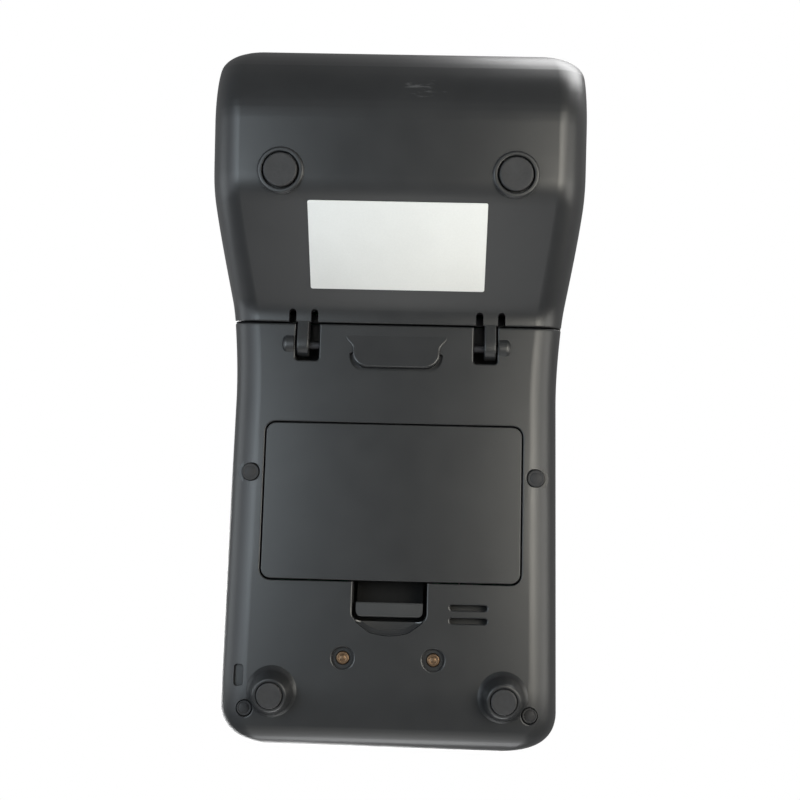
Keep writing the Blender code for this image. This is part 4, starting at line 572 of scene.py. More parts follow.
def moulded(name, dark=None, light=None, grain=1.0, gloss=0.0, shell=False, shadeDeeperThan=None):
    # moulded plastic: cloudy colour, spark-eroded grain, painted shade below a given depth, and on the shells
    # painted shade in the pockets and the tray and a few handling marks
    net = Net(name)
    cloud = net.noise(38, 3, 0.6)
    patch = net.noise(160, 2, 0.5)
    shade = (cloud * 0.7 + patch * 0.3).clamped(0.3, 0.7)
    colour = net.mix(shade, dark or satin["dark"], light or satin["light"])
    coarse = net.noise(satin["grain"], 2, 0.6)
    fine = net.noise(satin["grain"] * 2.3, 1, 0.5)
    low, high = satin["roughness"]
    roughness = low - gloss + (high - low) * (patch * 0.5 + coarse * 0.5)
    relief = coarse * 0.7 + fine * 0.3
    if shadeDeeperThan:
        # painted shade: what stands deeper than the given depth is painted nearly black, standing for the
        # shade deep in the latch's pocket
        deep = net.axis(net.slabPlace())[2] > shadeDeeperThan * mm
        colour = net.mix(deep, colour, satin["deepShadeColour"])
        roughness = roughness + deep * 0.6
    if shell:
        x, s, h = net.axis(net.slabPlace())
        wx, wy, wz = net.axis()
        # painted shade: inside the pockets and the tray the colour is painted near black, and the plastic is
        # duller
        depth, half, near, far = (value * mm for value in satin["pockets"])
        pocketShade = (h > depth) * (x.absolute() < half) * (s > near) * (s < far)
        colour = net.mix(pocketShade * satin["pocketShadeShare"], colour, satin["pocketShadeColour"])
        roughness = roughness + pocketShade * 0.45
        # the finger scoop is polished
        low, high, half, near, far = (value * mm for value in satin["scoop"])
        bowl = (h > low) * (h < high) * (x.absolute() < half) * (s > near) * (s < far)
        roughness = roughness - bowl * satin["scoopGloss"]
        relief = relief * (1 - bowl)
        # short scuffs near the hump's crown and beside a foot
        drag = {"Vector": net.place, "Rotation": (0, 0, 0.35), "Scale": (260.0, 1500.0, 260.0)}
        streak = net.noise(1, 4, 0.7, net.mapped(drag))
        places = scuffNear(wx, wy, -5.0, 63.5, 11.0, 5.5) + scuffNear(wx, wy, -34.0, 44.5, 3.0, 5.0) * 0.8
        scuff = (streak * places).clamped(0.50, 0.62) * (wz < 12 * mm)
        colour = net.mix(scuff * 0.3, colour, satin["scuff"])
        roughness = roughness + scuff * 0.2
    # the light falls as on a casing that is a little crowned, from side to side and towards the low end: a
    # height of minus a factor times the distance squared, with the grain on top
    across, along, _ = net.axis()
    start, factor = satin["endCrown"]
    past = (along - start * mm).maths("MINIMUM", 0.0)
    height = relief * (0.28 * grain * satin["grainDepth"]) - across * across * satin["crown"]
    height = height - past * past * factor
    return net.finish(colour, roughness, None, net.bump(height, 1.0, 1.0))


def scuffNear(x, y, middleX, middleY, reachX, reachY):
    # 1 at the middle of an ellipse, 0 from its rim on
    across = (x - middleX * mm) * (1 / (reachX * mm))
    along = (y - middleY * mm) * (1 / (reachY * mm))
    return 1 - (across * across + along * along).maths("MINIMUM", 1.0)


def rubber(name, colour=(0.012, 0.012, 0.013)):
    # matte black rubber with dust-like mottling
    net = Net(name)
    speck = net.noise(1500, 3, 0.6)
    dust = net.noise(220, 2, 0.5)
    lighter = tuple(c * 2.2 + 0.004 for c in colour)
    tone = net.mix((speck * 0.6 + dust * 0.4).clamped(0.35, 0.8), colour, lighter)
    return net.finish(tone, 0.55 + 0.2 * speck, None, net.bump(speck, 0.3, 0.00004))


def metal(name, colour, roughness=0.3, grain=(900.0, 40.0, 900.0)):
    # metal with fine drawn lines along one axis
    net = Net(name)
    lines = net.noise(6, 3, 0.6, net.mapped({"Vector": net.place, "Scale": grain}))
    stain = net.noise(120, 2, 0.5)
    darker = tuple(c * 0.72 for c in colour)
    tone = net.mix((lines * 0.5 + stain * 0.5).clamped(0.3, 0.7), darker, colour)
    return net.finish(tone, roughness - 0.08 + 0.2 * lines, 1.0, net.bump(lines, 0.12, 0.00002))


def paper(name, colour, fibre=2600.0):
    # uncoated paper: faint fibres and a slightly uneven white
    net = Net(name)
    thread = net.noise(fibre, 4, 0.65)
    wash = net.noise(90, 2, 0.5)
    darker = tuple(c * 0.93 for c in colour)
    tone = net.mix((thread * 0.5 + wash * 0.5).clamped(0.35, 0.65), darker, colour)
    return net.finish(tone, 0.5 + 0.15 * thread, None, net.bump(thread, 0.1, 0.00002))


shellPlastic = moulded("shell plastic", shell=True)
doorPlastic = moulded("door plastic")
# the latch's bridge deep in its pocket gets painted shade
latchPlastic = moulded("latch plastic", (0.026, 0.027, 0.028), (0.034, 0.035, 0.036), 0.3, shadeDeeperThan=2.4)
speakerCloth = moulded("speaker gauze", (0.002, 0.002, 0.002), (0.005, 0.005, 0.005), 1.5, -0.2)
gilt = metal("gilt", (0.16, 0.105, 0.066), 0.46, (500.0, 500.0, 500.0))
blackPlastic = moulded("inner black plastic", (0.012, 0.012, 0.013), (0.022, 0.022, 0.024), 0.8)
footRubber = rubber("foot rubber")
plugRubber = rubber("plug rubber", (0.008, 0.008, 0.009))
rollerRubber = rubber("roller rubber", (0.02, 0.02, 0.021))
steel = metal("plain steel", (0.62, 0.62, 0.64))
labelPaper = paper("label stock", (0.66, 0.665, 0.655))
print("finishes made")


def slabSkin(name, rings, smooth=35):
    # rings of (x, s, h) in slab axes
    return skin(name, slabPoints(rings), smooth)


def bevelled(made, width, segments, angle):
    # round every edge that is sharper than the angle
    modifier = made.modifiers.new("rounding", "BEVEL")
    modifier.width = width * mm
    modifier.segments = segments
    modifier.limit_method = "ANGLE"
    modifier.angle_limit = math.radians(angle)
    modifier.harden_normals = False
    return settled(made, evaluated(made))


def cutHole(shell, name, outline, levels):
    # cut through the underside: outline(grow) at each (height, grow) level
    carve(shell, slabSkin(name, stack(outline, levels), 0))


def openingOutline(size, corner, centre, steps=8):
    return lambda grow: roundedOutline(size[0], size[1], corner, centre, grow, steps)


def spanOutline(width, low, high, corner, x=0.0, steps=8):
    # as openingOutline, from low to high along the slab
    return openingOutline((width, high - low), corner, (x, (low + high) / 2), steps)


def cutRoundHole(shell, name, radius, centre, levels, around=48):
    cutHole(shell, name, lambda grow: circle(radius + grow, around, centre), levels)


# The rear casing, in slab axes unless it says otherwise
rearForm = {
    "lip": 0.4,
    "tray": (54.4, 39.0, 71.4, 12.0),  # width, low, high, depth
    "trayWall": 1.2,
    "opening": (55.9, 35.3, 69.5, 2.4),  # width, low, high, corner
    "openingSeat": 2.3,
    "edge": 0.22,
    "latchPocket": (15.8, 27.1, 37.8, 1.8),  # width, low, high, corner
    "latchDepth": 6.6,
    "scoop": (24.0, 29.5, 3.1, 7.2, 1.3),  # tip, mouth, half widths there, depth
    "speakerSlots": (-16.8, 27.6, 2.75, 7.9, 1.2),  # x, s, pitch, length, width
    "wells": (9.57, 19.3, 2.3, 1.0, 1.5),  # x, s, radius, depth, contact's hole
    "slotDepth": 4.0,
    "lanyard": (31.5, 15.2, 2.05, 4.6, 1.6),  # x, s, width, length, depth
    "sideScrews": (30.8, 58.3, 1.9),  # x, s, radius
    "cornerScrews": (29.95, 8.4, 1.65),
    "screwSeat": 4.2,
    "pocketX": (16.9, 22.1),
    "pocketLength": 7.2,
    "pocketDepth": 5.4,
    "pocketCorner": 0.7,
    "barrelLength": 2.9,
    "knuckle": 2.5,
    "legs": (24.3, -63.15),  # x, y
    "legTip": (3.6, 0.5),  # radius, z
    "legRim": 0.45,
    "legPad": 2.7,
    "legBase": 4.7,
    "legFlare": 0.6,
    "ramp": (7.0, 0.9),  # length, height
    "rampWidths": (11.1, 9.5, 6.5),  # halves: high end, waist, low end
    "rampBack": 2.6,
    "rampGroove": 0.7,
    "grooveDepth": 0.8,
    "pinHole": 1.1,
    "boss": 2.7,
    "screwHole": 0.8,
    "pocketEdge": 0.35,
    "holeEdge": 0.3,
}
screwPlaces = [
    ((side * x, s), radius)
    for x, s, radius in (rearForm["sideScrews"], rearForm["cornerScrews"])
    for side in (1, -1)
]


def legCone(side):
    # rings climb from the tip to the slab; each point's top is where its own side meets the slab
    x, y = rearForm["legs"]
    tipRadius, tip = rearForm["legTip"]
    turn = np.linspace(0, 2 * math.pi, 64, endpoint=False)
    slope, rim = math.tan(bodyForm["tilt"]), rearForm["legRim"]

    def ring(radius, height):
        return np.column_stack([side * x + radius * np.cos(turn), y + radius * np.sin(turn), height])

    rings = []
    for share in np.concatenate([[0.0], np.linspace(0.02, 0.7, 6), np.linspace(0.75, 1.0, 8), [1.25]]):
        flare = rearForm["legFlare"] * np.clip((share - 0.7) / 0.3, 0, 1) ** 2.2
        radius = tipRadius + (rearForm["legBase"] - tipRadius) * share + flare
        top = bodyForm["lift"] + slope * (y + radius * np.sin(turn) - bodyForm["lowEnd"])
        rings.append(ring(radius, tip + share * (top - tip)))
    rings = np.array(rings)
    # the tip's edge is a quarter round
    lip = [ring(tipRadius - back, np.full(64, tip + up)) for back, up in quarter(rim, 6)[:-1]]
    rings = rings[rings[:, :, 2].min(axis=1) > tip + rim]
    return skin("leg", np.concatenate([np.array(lip), rings]))


def rampHalf(share):
    # half the tab's width down its length: a slight draw-in, then a round corner into its low edge
    half, waist, endHalf = rearForm["rampWidths"]
    drawn = np.clip(share / 0.4, 0, 1)
    side = half + (waist - half) * drawn**2 * (3 - 2 * drawn)
    low = np.clip((share - 0.55) / 0.45, 0, 1)
    return side - (waist - endHalf) * (1 - np.sqrt(1 - low**2))


def rampOutline(share, grow=0.0):
    # right side going down, then the left side coming back, grown outwards
    s = seamS - rearForm["rampBack"] - (rearForm["ramp"][0] + grow) * share
    right = np.column_stack([rampHalf(share) + grow, s])
    return np.concatenate([right, (right * (-1, 1))[::-1]])


def rampWedge():
    # a tab between the hinges: flush at its high end, proud at its low end, with a rounded rim
    height = rearForm["ramp"][1]
    share = np.sin(np.linspace(0, math.pi / 2, 33))
    both = np.concatenate([share, share[::-1]])
    rows = [atHeight(rampOutline(share), 1.5)]
    for level, inward in ((0.0, 0.0), (0.55, 0.0), (0.78, 0.08), (0.93, 0.22), (1.0, 0.42)):
        proud = -np.maximum(height * both * level, 0.02 * level)
        rows.append(np.column_stack([rampOutline(share, -inward), proud]))
    return slabSkin("ramp", np.array(rows), 30)


def rampGroove():
    # a shadow gap round the tab's low edge, deeper than it is wide
    share = np.sin(np.linspace(0.55, math.pi / 2, 25))
    # the ring between two outlines, closed at its two upper ends
    ring = np.concatenate([rampOutline(share, rearForm["rampGroove"]), rampOutline(share)[::-1]])
    rings = [atHeight(ring, height) for height in (rearForm["grooveDepth"], -3.0)]
    return slabSkin("groove", np.array(rings), 0)


def barrel(side):
    # a knuckle beside its pocket; a quarter round of radius 1 ends it
    radius, low = rearForm["knuckle"], rearForm["pocketX"][1]
    high = low + rearForm["barrelLength"]
    bends = np.linspace(0, math.pi / 2, 7)[1:]
    profile = [(radius, side * (low + 0.37)), (radius, side * (high - 1.0))]
    profile += [(radius - (1 - math.cos(t)), side * (high - 1.0 + math.sin(t))) for t in bends]
    return slabSkin("barrel", sidewaysRings(profile, (hingeS, hingeH)))


def pinBore(side, low, high):
    # the hole for a hinge pin
    profile = [(rearForm["pinHole"], side * x) for x in (low, high)]
    return slabSkin("bore", sidewaysRings(profile, (hingeS, hingeH), 24), 0)


def rearHousing():
    form = rearForm
    low, seamLow, wall = bodyForm["lowEnd"], bodyForm["seam"][0], bodyForm["wall"]
    shell = bodyPiece("rearHousing", low, seamLow, 0.0, lipHigh=form["lip"])
    carve(shell, partingTool("above", True, -0.15))
    carve(shell, bodyPiece("hollow", low + wall, seamLow - wall, wall))
    width, trayLow, trayHigh, depth = form["tray"]
    rim = form["trayWall"]
    box = block(width + 2 * rim, trayLow - rim, trayHigh + rim, 1, depth + rim)
    carve(shell, slabSkin("tray", box, 0), "UNION")
    trayHollow = slabSkin("tray hollow", block(width, trayLow, trayHigh, 2, depth), 0)
    pocketWidth, pocketLow = form["latchPocket"][:2]
    box = block(pocketWidth + 2 * rim, pocketLow - rim, trayLow, 1, form["latchDepth"] + rim)
    carve(shell, slabSkin("latch box", box, 0), "UNION")
    for place, _ in screwPlaces:
        tube = turnedRings([(form["boss"], 1.0), (form["boss"], bodyForm["parting"] - 0.45)], place, 32)
        carve(shell, slabSkin("boss", tube), "UNION")
    inner, outer = form["pocketX"]
    middle = (inner + outer) / 2
    for side in (1, -1):
        start, end = hingeS - form["pocketLength"] / 2 - rim, seamS - 1.15
        box = block(outer - inner + 2 * rim, start, end, 1, form["pocketDepth"] + rim, side * middle)
        carve(shell, slabSkin("hinge box", box, 0), "UNION")
        carve(shell, legCone(side), "UNION")
    carve(shell, rampWedge(), "UNION")

    # openings, each with a rounded mouth
    cutHole(shell, "battery opening", spanOutline(*form["opening"]), mouth(form["openingSeat"], form["edge"]))
    carve(shell, trayHollow)
    levels = mouth(form["latchDepth"], form["pocketEdge"])
    cutHole(shell, "latch pocket", spanOutline(*form["latchPocket"]), levels)
    carve(shell, scoopBowl())
    slotX, slotS, pitch, length, wide = form["speakerSlots"]
    for i in range(2):
        outline = openingOutline((length, wide), wide / 2 - 0.01, (slotX, slotS + i * pitch))
        cutHole(shell, "speaker slot", outline, mouth(form["slotDepth"], form["holeEdge"]))
    wellX, wellS, wellRadius, wellDepth, contact = form["wells"]
    legX, legY = form["legs"]
    padHole = [(2.9, -1.5), (2.9, 0.5), (2.8, 0.75), (2.8, 2.2)]
    for side in (1, -1):
        place = (side * wellX, wellS)
        cutRoundHole(shell, "well", wellRadius, place, mouth(wellDepth, form["pocketEdge"]))
        cutRoundHole(shell, "contact hole", contact, place, [(4.0, 0), (-1.0, 0)])
        pad = turnedRings(padHole, (side * legX, legY))
        carve(shell, skin("pad hole", pad, 0))
    x, s, wide, length, depth = form["lanyard"]
    outline = openingOutline((wide, length), form["pocketCorner"], (x, s))
    cutHole(shell, "lanyard", outline, mouth(depth, form["holeEdge"]))
    for place, radius in screwPlaces:
        cutRoundHole(shell, "screw shaft", radius + 0.1, place, mouth(form["screwSeat"], form["holeEdge"]))
        cutRoundHole(shell, "screw hole", form["screwHole"], place, [(11.6, 0), (-1, 0)], 16)
    carve(shell, rampGroove())
    span = (outer - inner, hingeS - form["pocketLength"] / 2, seamS + 3, form["pocketCorner"])
    for side in (1, -1):
        levels = mouth(form["pocketDepth"], form["pocketEdge"])
        cutHole(shell, "hinge pocket", spanOutline(*span, side * middle), levels)
    for side in (1, -1):
        carve(shell, barrel(side), "UNION")
        carve(shell, pinBore(side, inner - 0.6, outer + 1.45))
    return softened(shell)


def scoopBowl():
    # a finger scoop: half ellipses across, wider and deeper from its tip towards the pocket
    tip, mouthS, tipHalf, mouthHalf, depth = rearForm["scoop"]
    s = np.concatenate([tip + np.linspace(0.02, 1, 9) ** 2 * 0.8, np.linspace(tip + 1, mouthS, 16)])
    share = (s - tip) / (mouthS - tip)
    spread = (mouthHalf - tipHalf) * np.clip(share * 1.9, 0, 1) ** 0.9
    half = tipHalf * np.sqrt(np.clip(share / 0.12, 0, 1)) + spread
    deep = depth * np.sqrt(1 - (1 - np.clip(share * 1.3, 0, 1)) ** 2) + 0.03
    turn = np.linspace(0, math.pi, 33)
    x = half[:, None] * np.cos(turn)
    h = deep[:, None] * np.sin(turn) ** 0.8 + hair
    x = np.concatenate([x, -half[:, None], half[:, None]], axis=1)
    h = np.concatenate([h, np.full((len(s), 2), -1.5)], axis=1)
    return slabSkin("scoop", np.stack([x, np.broadcast_to(s[:, None], x.shape), h], axis=-1))


rear = rearHousing()
finished("rearShell", rear, "terminal", "rear_housing", shellPlastic)
print("rear casing made:", len(rear.data.polygons), "faces")


# The printer cover: the hump's whole underside, its arms, ears, foot rings and slits
coverForm = {
    "lip": 0.4,
    "edgeWall": 1.8,
    "platen": (65.0, 42.0),  # y, z of the roller's axis
    "lipBlock": (63.0, 29.0),
    "arm": (19.2, 21.8, 2.9, 3.0),  # x from, x to, thickness, root
    "slit": (1.6, 3.0, 4.5),  # width, length, depth
    "foot": (24.35, 45.65),
    "padRadius": 3.5,
    "ring": (4.8, 0.7),  # radius, z
    "ear": (31.5, 1.2, 3.4),  # x, thickness, radius
    "bushing": 2.45,
    "gap": 0.3,
}


def worldBlock(low, high):
    # an upright block between two corners
    outline = [(low[0], low[1]), (high[0], low[1]), (high[0], high[1]), (low[0], high[1])]
    return np.array([atHeight(outline, z) for z in (low[2], high[2])])


def armPiece(side):
    # a half round about the hinge and a straight root into the cover's edge
    low, high, thickness, root = coverForm["arm"]
    radius = rearForm["knuckle"]
    knuckle = circle(radius, 21, (hingeS, hingeH), math.pi / 2, math.pi)
    rest = [(hingeS + radius / 2, hingeH - radius), (seamS + root, 0.5), (seamS + root, thickness)]
    arm = slabSkin("arm", sideways(np.concatenate([knuckle, rest]), side * low, side * high), 0)
    return bevelled(arm, 0.35, 3, 40)


def earPiece(side):
    # a bracket from the end wall up to the bushing
    low, thickness, radius = coverForm["ear"]
    top = circle(radius, 24, coverForm["platen"], math.pi / 3, math.pi * 7 / 6)
    parting = slabPoints((0, slabS(bodyForm["farEnd"]), bodyForm["parting"]))[2]
    foot = (bodyForm["widestLift"] + parting) / 2
    wall = bodyForm["farEnd"] - 1
    outline = np.concatenate([top, [(wall, foot - radius), (wall, parting - 2)]])
    return bevelled(skin("ear", sideways(outline, side * low, side * (low + thickness)), 0), 0.25, 2, 40)


def footRing(side):
    # a low collar that blends into the cover's floor, with a rounded rim round the pad's well
    radius, face = coverForm["ring"]
    rim, bends = 0.4, np.linspace(0, math.pi / 2, 6)
    profile = [(radius - rim + rim * math.sin(t), face + rim - rim * math.cos(t)) for t in bends]
    profile += [(radius + 0.02, 1.1), (radius + 0.1, 1.18), (radius + 0.1, 2.6)]
    return skin("ring", turnedRings(profile, (side * coverForm["foot"][0], coverForm["foot"][1]), 64))


def printerCover():
    form = coverForm
    seamHigh, wall, far = bodyForm["seam"][1], bodyForm["wall"], bodyForm["farEnd"]
    shell = bodyPiece("printerCover", seamHigh, far, 0.0, lipLow=form["lip"])
    trim = partingTool("above", True, -0.15)
    lipY, lipHalf = form["lipBlock"]
    carve(trim, skin("lip block", worldBlock((-lipHalf, lipY, 21), (lipHalf, far + 4, 60)), 0))
    carve(shell, trim)
    carve(shell, bodyPiece("hollow", seamHigh + form["edgeWall"], far - wall, wall))
    for side in (1, -1):
        carve(shell, armPiece(side), "UNION")
        carve(shell, earPiece(side), "UNION")
        carve(shell, footRing(side), "UNION")
    footX, footY = form["foot"]
    gap, face, well = form["gap"], form["ring"][1], form["padRadius"] + form["gap"]
    profile = [(well + gap, -1.5)] + [(well + out, face + down) for out, down in quarter(gap)] + [(well, 2.2)]
    width, length, depth = form["slit"]
    low, high = form["arm"][:2]
    earLow, earWall = form["ear"][:2]
    for side in (1, -1):
        carve(shell, skin("foot well", turnedRings(profile, (side * footX, footY), 64), 0))
        for x in (low - gap - width / 2, high + gap + width / 2):
            centre = (side * x, seamS + (length - 2) / 2)
            outline = openingOutline((width, length + 2), width / 2 - 0.01, centre)
            cutHole(shell, "slit", outline, [(depth, 0), (-2.5, 0)])
        carve(shell, pinBore(side, low - 2, high + 2))
        hole = [(form["bushing"], side * (earLow - gap)), (form["bushing"], side * (earLow + earWall + gap))]
        carve(shell, skin("bushing hole", sidewaysRings(hole, form["platen"], 32), 0))
    return softened(shell)


cover = printerCover()
finished("coverShell", cover, "cover", "printer_cover", shellPlastic)
print("printer cover made:", len(cover.data.polygons), "faces")


# The front casing: keypad side, printer's roof and far end
frontForm = {
    "keyPitch": (18.6, 10.6),
    "keyFirst": 13.6,
    "keySize": (15.4, 7.4, 2.2),  # width, length, corner
    "lens": (60.0, 67.8, 109.8, 2.5),  # width, low, high, corner
    "lensThickness": 0.9,
    "window": 3.5,
    "cardSlot": (55.6, 1.7),
    "exit": (60.8, 29.3),
    "roll": (50.0, 21.5, 18.0),  # y, z, radius
    "frameBack": 50.6,
    "frameTop": 50.3,
    "beam": 3.4,
    "rib": (20.0, 1.6),
    "boss": 2.1,
    "edge": 0.35,
    "keyFlange": 0.7,
    "keyTravel": 1.2,
    "mat": 1.0,
    "board": 1.6,
    "readerHalf": 2.0,
}
keyNames = (
    ("cancel", "clear", "enter"),
    ("star", "0", "hash"),
    ("7", "8", "9"),
    ("4", "5", "6"),
    ("1", "2", "3"),
)
top, gap = bodyForm["thickness"], 0.3
flangeTop = top - bodyForm["wall"] - gap
flangeLow = flangeTop - frontForm["keyFlange"]
boardTop = flangeLow - frontForm["keyTravel"] - gap - frontForm["mat"] - gap
cardHeight = boardTop - frontForm["board"] - gap - frontForm["readerHalf"]


def keyMiddle(row, column):
    pitchX, pitchS = frontForm["keyPitch"]
    return (column - 1) * pitchX, frontForm["keyFirst"] + row * pitchS


def cutTop(shell, name, outline, levels):
    # as cutHole, from the keypad side
    cutHole(shell, name, outline, [(top - height, grow) for height, grow in levels])


def roofRib(side):
    # follows the bucket's back, the printer's frame and the roof
    form = frontForm
    y, z, radius = form["roll"]
    start = math.radians(140)
    arc = circle(radius + 2.5, 24, (y, z), start, math.pi / 2 - start)
    stepY = form["frameBack"] - gap
    arc = arc[arc[:, 0] < stepY]
    level = form["frameTop"] + gap
    corners = [(stepY, arc[-1, 1]), (stepY, level), (form["frameBack"] + form["beam"], level)]
    lower = np.concatenate([arc, corners])
    along = np.linspace(lower[-1, 0], lower[0, 0], 16)
    upper = np.column_stack([along, topHeight(along, 1.0)])
    low, width = form["rib"]
    return skin("rib", sideways(np.concatenate([lower, upper]), side * low, side * (low + width)), 0)


def frontHousing():
    form = frontForm
    low, far, wall = bodyForm["lowEnd"], bodyForm["farEnd"], bodyForm["wall"]
    shell = bodyPiece("frontHousing", low, far, 0.0)
    carve(shell, partingTool("below", False, 0.15))
    carve(shell, bodyPiece("hollow", low + wall, far - wall, wall))
    for place, _ in screwPlaces:
        # the bosses near the low end stop short of the rounded edge
        head = top - 1 - (1.5 if place[1] < 10 else 0)
        tube = turnedRings([(form["boss"], bodyForm["parting"] + 0.15), (form["boss"], head)], place, 24)
        carve(shell, slabSkin("boss", tube), "UNION")
    for side in (1, -1):
        carve(shell, roofRib(side), "UNION")
    width, length, corner = form["keySize"]
    size = (width + 2 * gap, length + 2 * gap)
    for row in range(len(keyNames)):
        for column in range(3):
            outline = openingOutline(size, corner + gap, keyMiddle(row, column))
            cutTop(shell, "key hole", outline, mouth(2.5, form["edge"]))
    width, lensLow, lensHigh, corner = form["lens"]
    length, middle = lensHigh - lensLow, (0, (lensLow + lensHigh) / 2)
    outline = openingOutline((width + 2 * gap, length + 2 * gap), corner + gap, middle)
    cutTop(shell, "lens recess", outline, mouth(form["lensThickness"] + gap, 0.3))
    border = 2 * form["window"]
    outline = openingOutline((width - border, length - border), corner, middle)
    cutTop(shell, "window", outline, [(4.0, 0), (-1.0, 0)])
    for place, _ in screwPlaces:
        levels = [(15.5, 0), (bodyForm["parting"] - 2, 0)]
        cutRoundHole(shell, "pilot", rearForm["screwHole"], place, levels, 16)
    width, height = form["cardSlot"]
    slot = roundedOutline(width, height, 0.5, (0, cardHeight), steps=6)
    cutter = np.array([np.column_stack([slot[:, 0], np.full(len(slot), s), slot[:, 1]]) for s in (-10, 10)])
    carve(shell, slabSkin("card slot", cutter, 0))
    exitY, exitHalf = form["exit"]
    carve(shell, skin("paper exit", worldBlock((-exitHalf, exitY, 21), (exitHalf, far + 2, 57.5)), 0))
    return softened(shell)


front = frontHousing()
finished("frontShell", front, "terminal", "front_housing", shellPlastic)
print("front casing made:", len(front.data.polygons), "faces")


# The battery cover: a flush plate with tongues at its upper edge and a rib for the latch
batteryForm = {
    "size": (55.3, 35.6, 69.2, 2.1),  # width, low, high, corner
    "edge": 0.22,
    "thickness": 2.0,
    "tongue": (17.0, 6.0, 1.5, 1.0),  # x, width, reach, thickness
    "rib": (14.2, 35.75, 36.6, 5.0),  # width, low, high, top
}


def batteryCover():
    form = batteryForm
    high = form["size"][2]
    outline = spanOutline(*form["size"], steps=12)
    made = slabSkin("batteryCover", stack(outline, plate(0.0, form["thickness"], form["edge"], 6)))
    x, wide, reach, thick = form["tongue"]
    start, level = high - reach, form["thickness"] + 0.3
    middle, end = start + reach / 2, high + reach
    profile = [(start, 1.0), (middle, 1.0), (middle, level), (end, level)]
    profile += [(end, level + thick), (start, level + thick)]
    for side in (1, -1):
        tongue = slabSkin("tongue", sideways(profile, side * x - wide / 2, side * x + wide / 2), 0)
        carve(made, tongue, "UNION")
    wide, ribLow, ribHigh, ribTop = form["rib"]
    carve(made, slabSkin("rib", block(wide, ribLow, ribHigh, 1.0, ribTop), 0), "UNION")
    return softened(made)


finished("batteryDoor", batteryCover(), "battery_door", "battery_cover", doorPlastic)


# The latch: a bar with rounded corners and a rolled front edge, and the spring leaf behind it
latchForm = {
    "bar": (14.2, 28.0, 31.1, 0.3, 2.3),  # width, low, high, face, back
    "leaf": 0.6,
    "bridge": (5.3, 36.1),
    "corner": 1.3,
    "rounds": (0.6, 0.35),
}


def latchBar():
    wide, low, high, face, back = latchForm["bar"]
    leaf, (bridge, bridgeEnd) = latchForm["leaf"], latchForm["bridge"]
    nose, heel = latchForm["rounds"]
    nose = [(low + along, face + up) for along, up in quarter(nose, 8)[::-1]]
    heel = [(high - along, face + up) for up, along in quarter(heel, 8)[::-1]]
    profile = [(low, back)] + nose + heel
    profile += [(high, bridge), (bridgeEnd, bridge), (bridgeEnd, bridge + leaf), (high - leaf, bridge + leaf)]
    profile += [(high - leaf, back)]
    made = slabSkin("latch", sideways(profile, -wide / 2, wide / 2), 30)
    outline = openingOutline((wide, 14.0), latchForm["corner"], (0, low + 7.0))
    carve(made, slabSkin("corners", stack(outline, [(-1.0, 0), (8.0, 0)]), 0), "INTERSECT")
    softened(made)
    return bevelled(made, 0.1, 2, 50)


finished("latchBar", latchBar(), "latch", "battery_latch", latchPlastic)


# Rubber feet and plugs
padForm = {"rim": 0.35, "dish": 0.05, "thickness": 1.9}
plugForm = {"low": 0.45, "rim": 0.22, "dome": 0.12, "thickness": 1.6}


def rubberPad(radius, place):
    # a flat-faced button: rounded rim and a very shallow dish in the middle
    rim, dish, thickness = padForm["rim"], padForm["dish"], padForm["thickness"]
    profile = [(0.001, dish), (radius * 0.5, dish * 0.9), (radius * 0.8, dish * 0.3), (radius - rim, 0.0)]
    profile += [(radius - back, up) for back, up in quarter(rim, 7)[1:]]
    profile += [(radius, thickness), (0.001, thickness)]
    return skin("pad", turnedRings(profile, place, 64), 50)


def slabPlug(radius, place):
    # a pressed-in plug: domed a little, with a fine ring near its rim
    low, rim, high = plugForm["low"], plugForm["rim"], plugForm["low"] + plugForm["thickness"]
    profile = [(0.001, low - plugForm["dome"]), (radius * 0.35, low - 0.1), (radius * 0.62, low - 0.02)]
    profile += [(radius * 0.7, low + 0.05), (radius * 0.76, low), (radius - rim, low)]
    profile += [(radius - back, low + up) for back, up in quarter(rim)[1:]]
    profile += [(radius, high), (0.001, high)]
    return slabSkin("plug", turnedRings(profile, place, 40), 50)


feet = {
    "upper": (*coverForm["foot"], coverForm["padRadius"], "cover"),
    "lower": (*rearForm["legs"], rearForm["legPad"], "terminal"),
}
sides = {"right": 1, "left": -1}
for kind, (x, y, radius, body) in feet.items():
    for word, side in sides.items():
        pad = rubberPad(radius, (side * x, y))
        finished(kind + "Foot" + word.title(), pad, body, kind + "_foot_" + word, footRubber)
for kind in ("side", "corner"):
    x, s, radius = rearForm[kind + "Screws"]
    for word, side in sides.items():
        plug = slabPlug(radius, (side * x, s))
        finished(kind + "Plug" + word.title(), plug, "terminal", kind + "_plug_" + word, plugRubber)


# Charging contacts: a gilt pad with a domed middle and a turned shoulder
def contactPad(side):
    x, s = rearForm["wells"][:2]
    profile = [(0.001, 0.5), (0.45, 0.52), (0.62, 0.62), (0.7, 0.66), (0.8, 0.62), (1.05, 0.58), (1.22, 0.62)]
    profile += [(1.33, 0.7), (1.4, 0.82), (1.4, 5.0), (0.001, 5.0)]
    return slabSkin("contact", turnedRings(profile, (side * x, s), 48), 40)


for word, side in sides.items():
    finished("contact" + word.title(), contactPad(side), "terminal", "charge_contact_" + word, gilt)


# The bare label, on the slope of the hump
labelForm = {"size": (37.6, 21.6, 0.45), "upSlope": 13.6, "levels": (-0.25, -0.05), "edge": 0.06}


def slopePoints(points):
    # (x, along, out) on the hump's slope to (x, y, z)
    x, along, out = np.moveaxis(np.asarray(points, float), -1, 0)
    turn = -bodyForm["humpSlope"]
    y = bodyForm["slopeFoot"] + along * math.cos(turn) - out * math.sin(turn)
    z = bodyForm["humpLift"] + along * math.sin(turn) + out * math.cos(turn)
    return np.stack([x, y, z], axis=-1)


def labelSheet():
    width, height, corner = labelForm["size"]
    outline = openingOutline((width, height), corner, (0, -labelForm["upSlope"]))
    low, high = labelForm["levels"]
    return skin("label", slopePoints(stack(outline, plate(low, high, labelForm["edge"], 3))), 30)


finished("bareLabel", labelSheet(), "cover", "label", labelPaper)
print("underside pieces made")


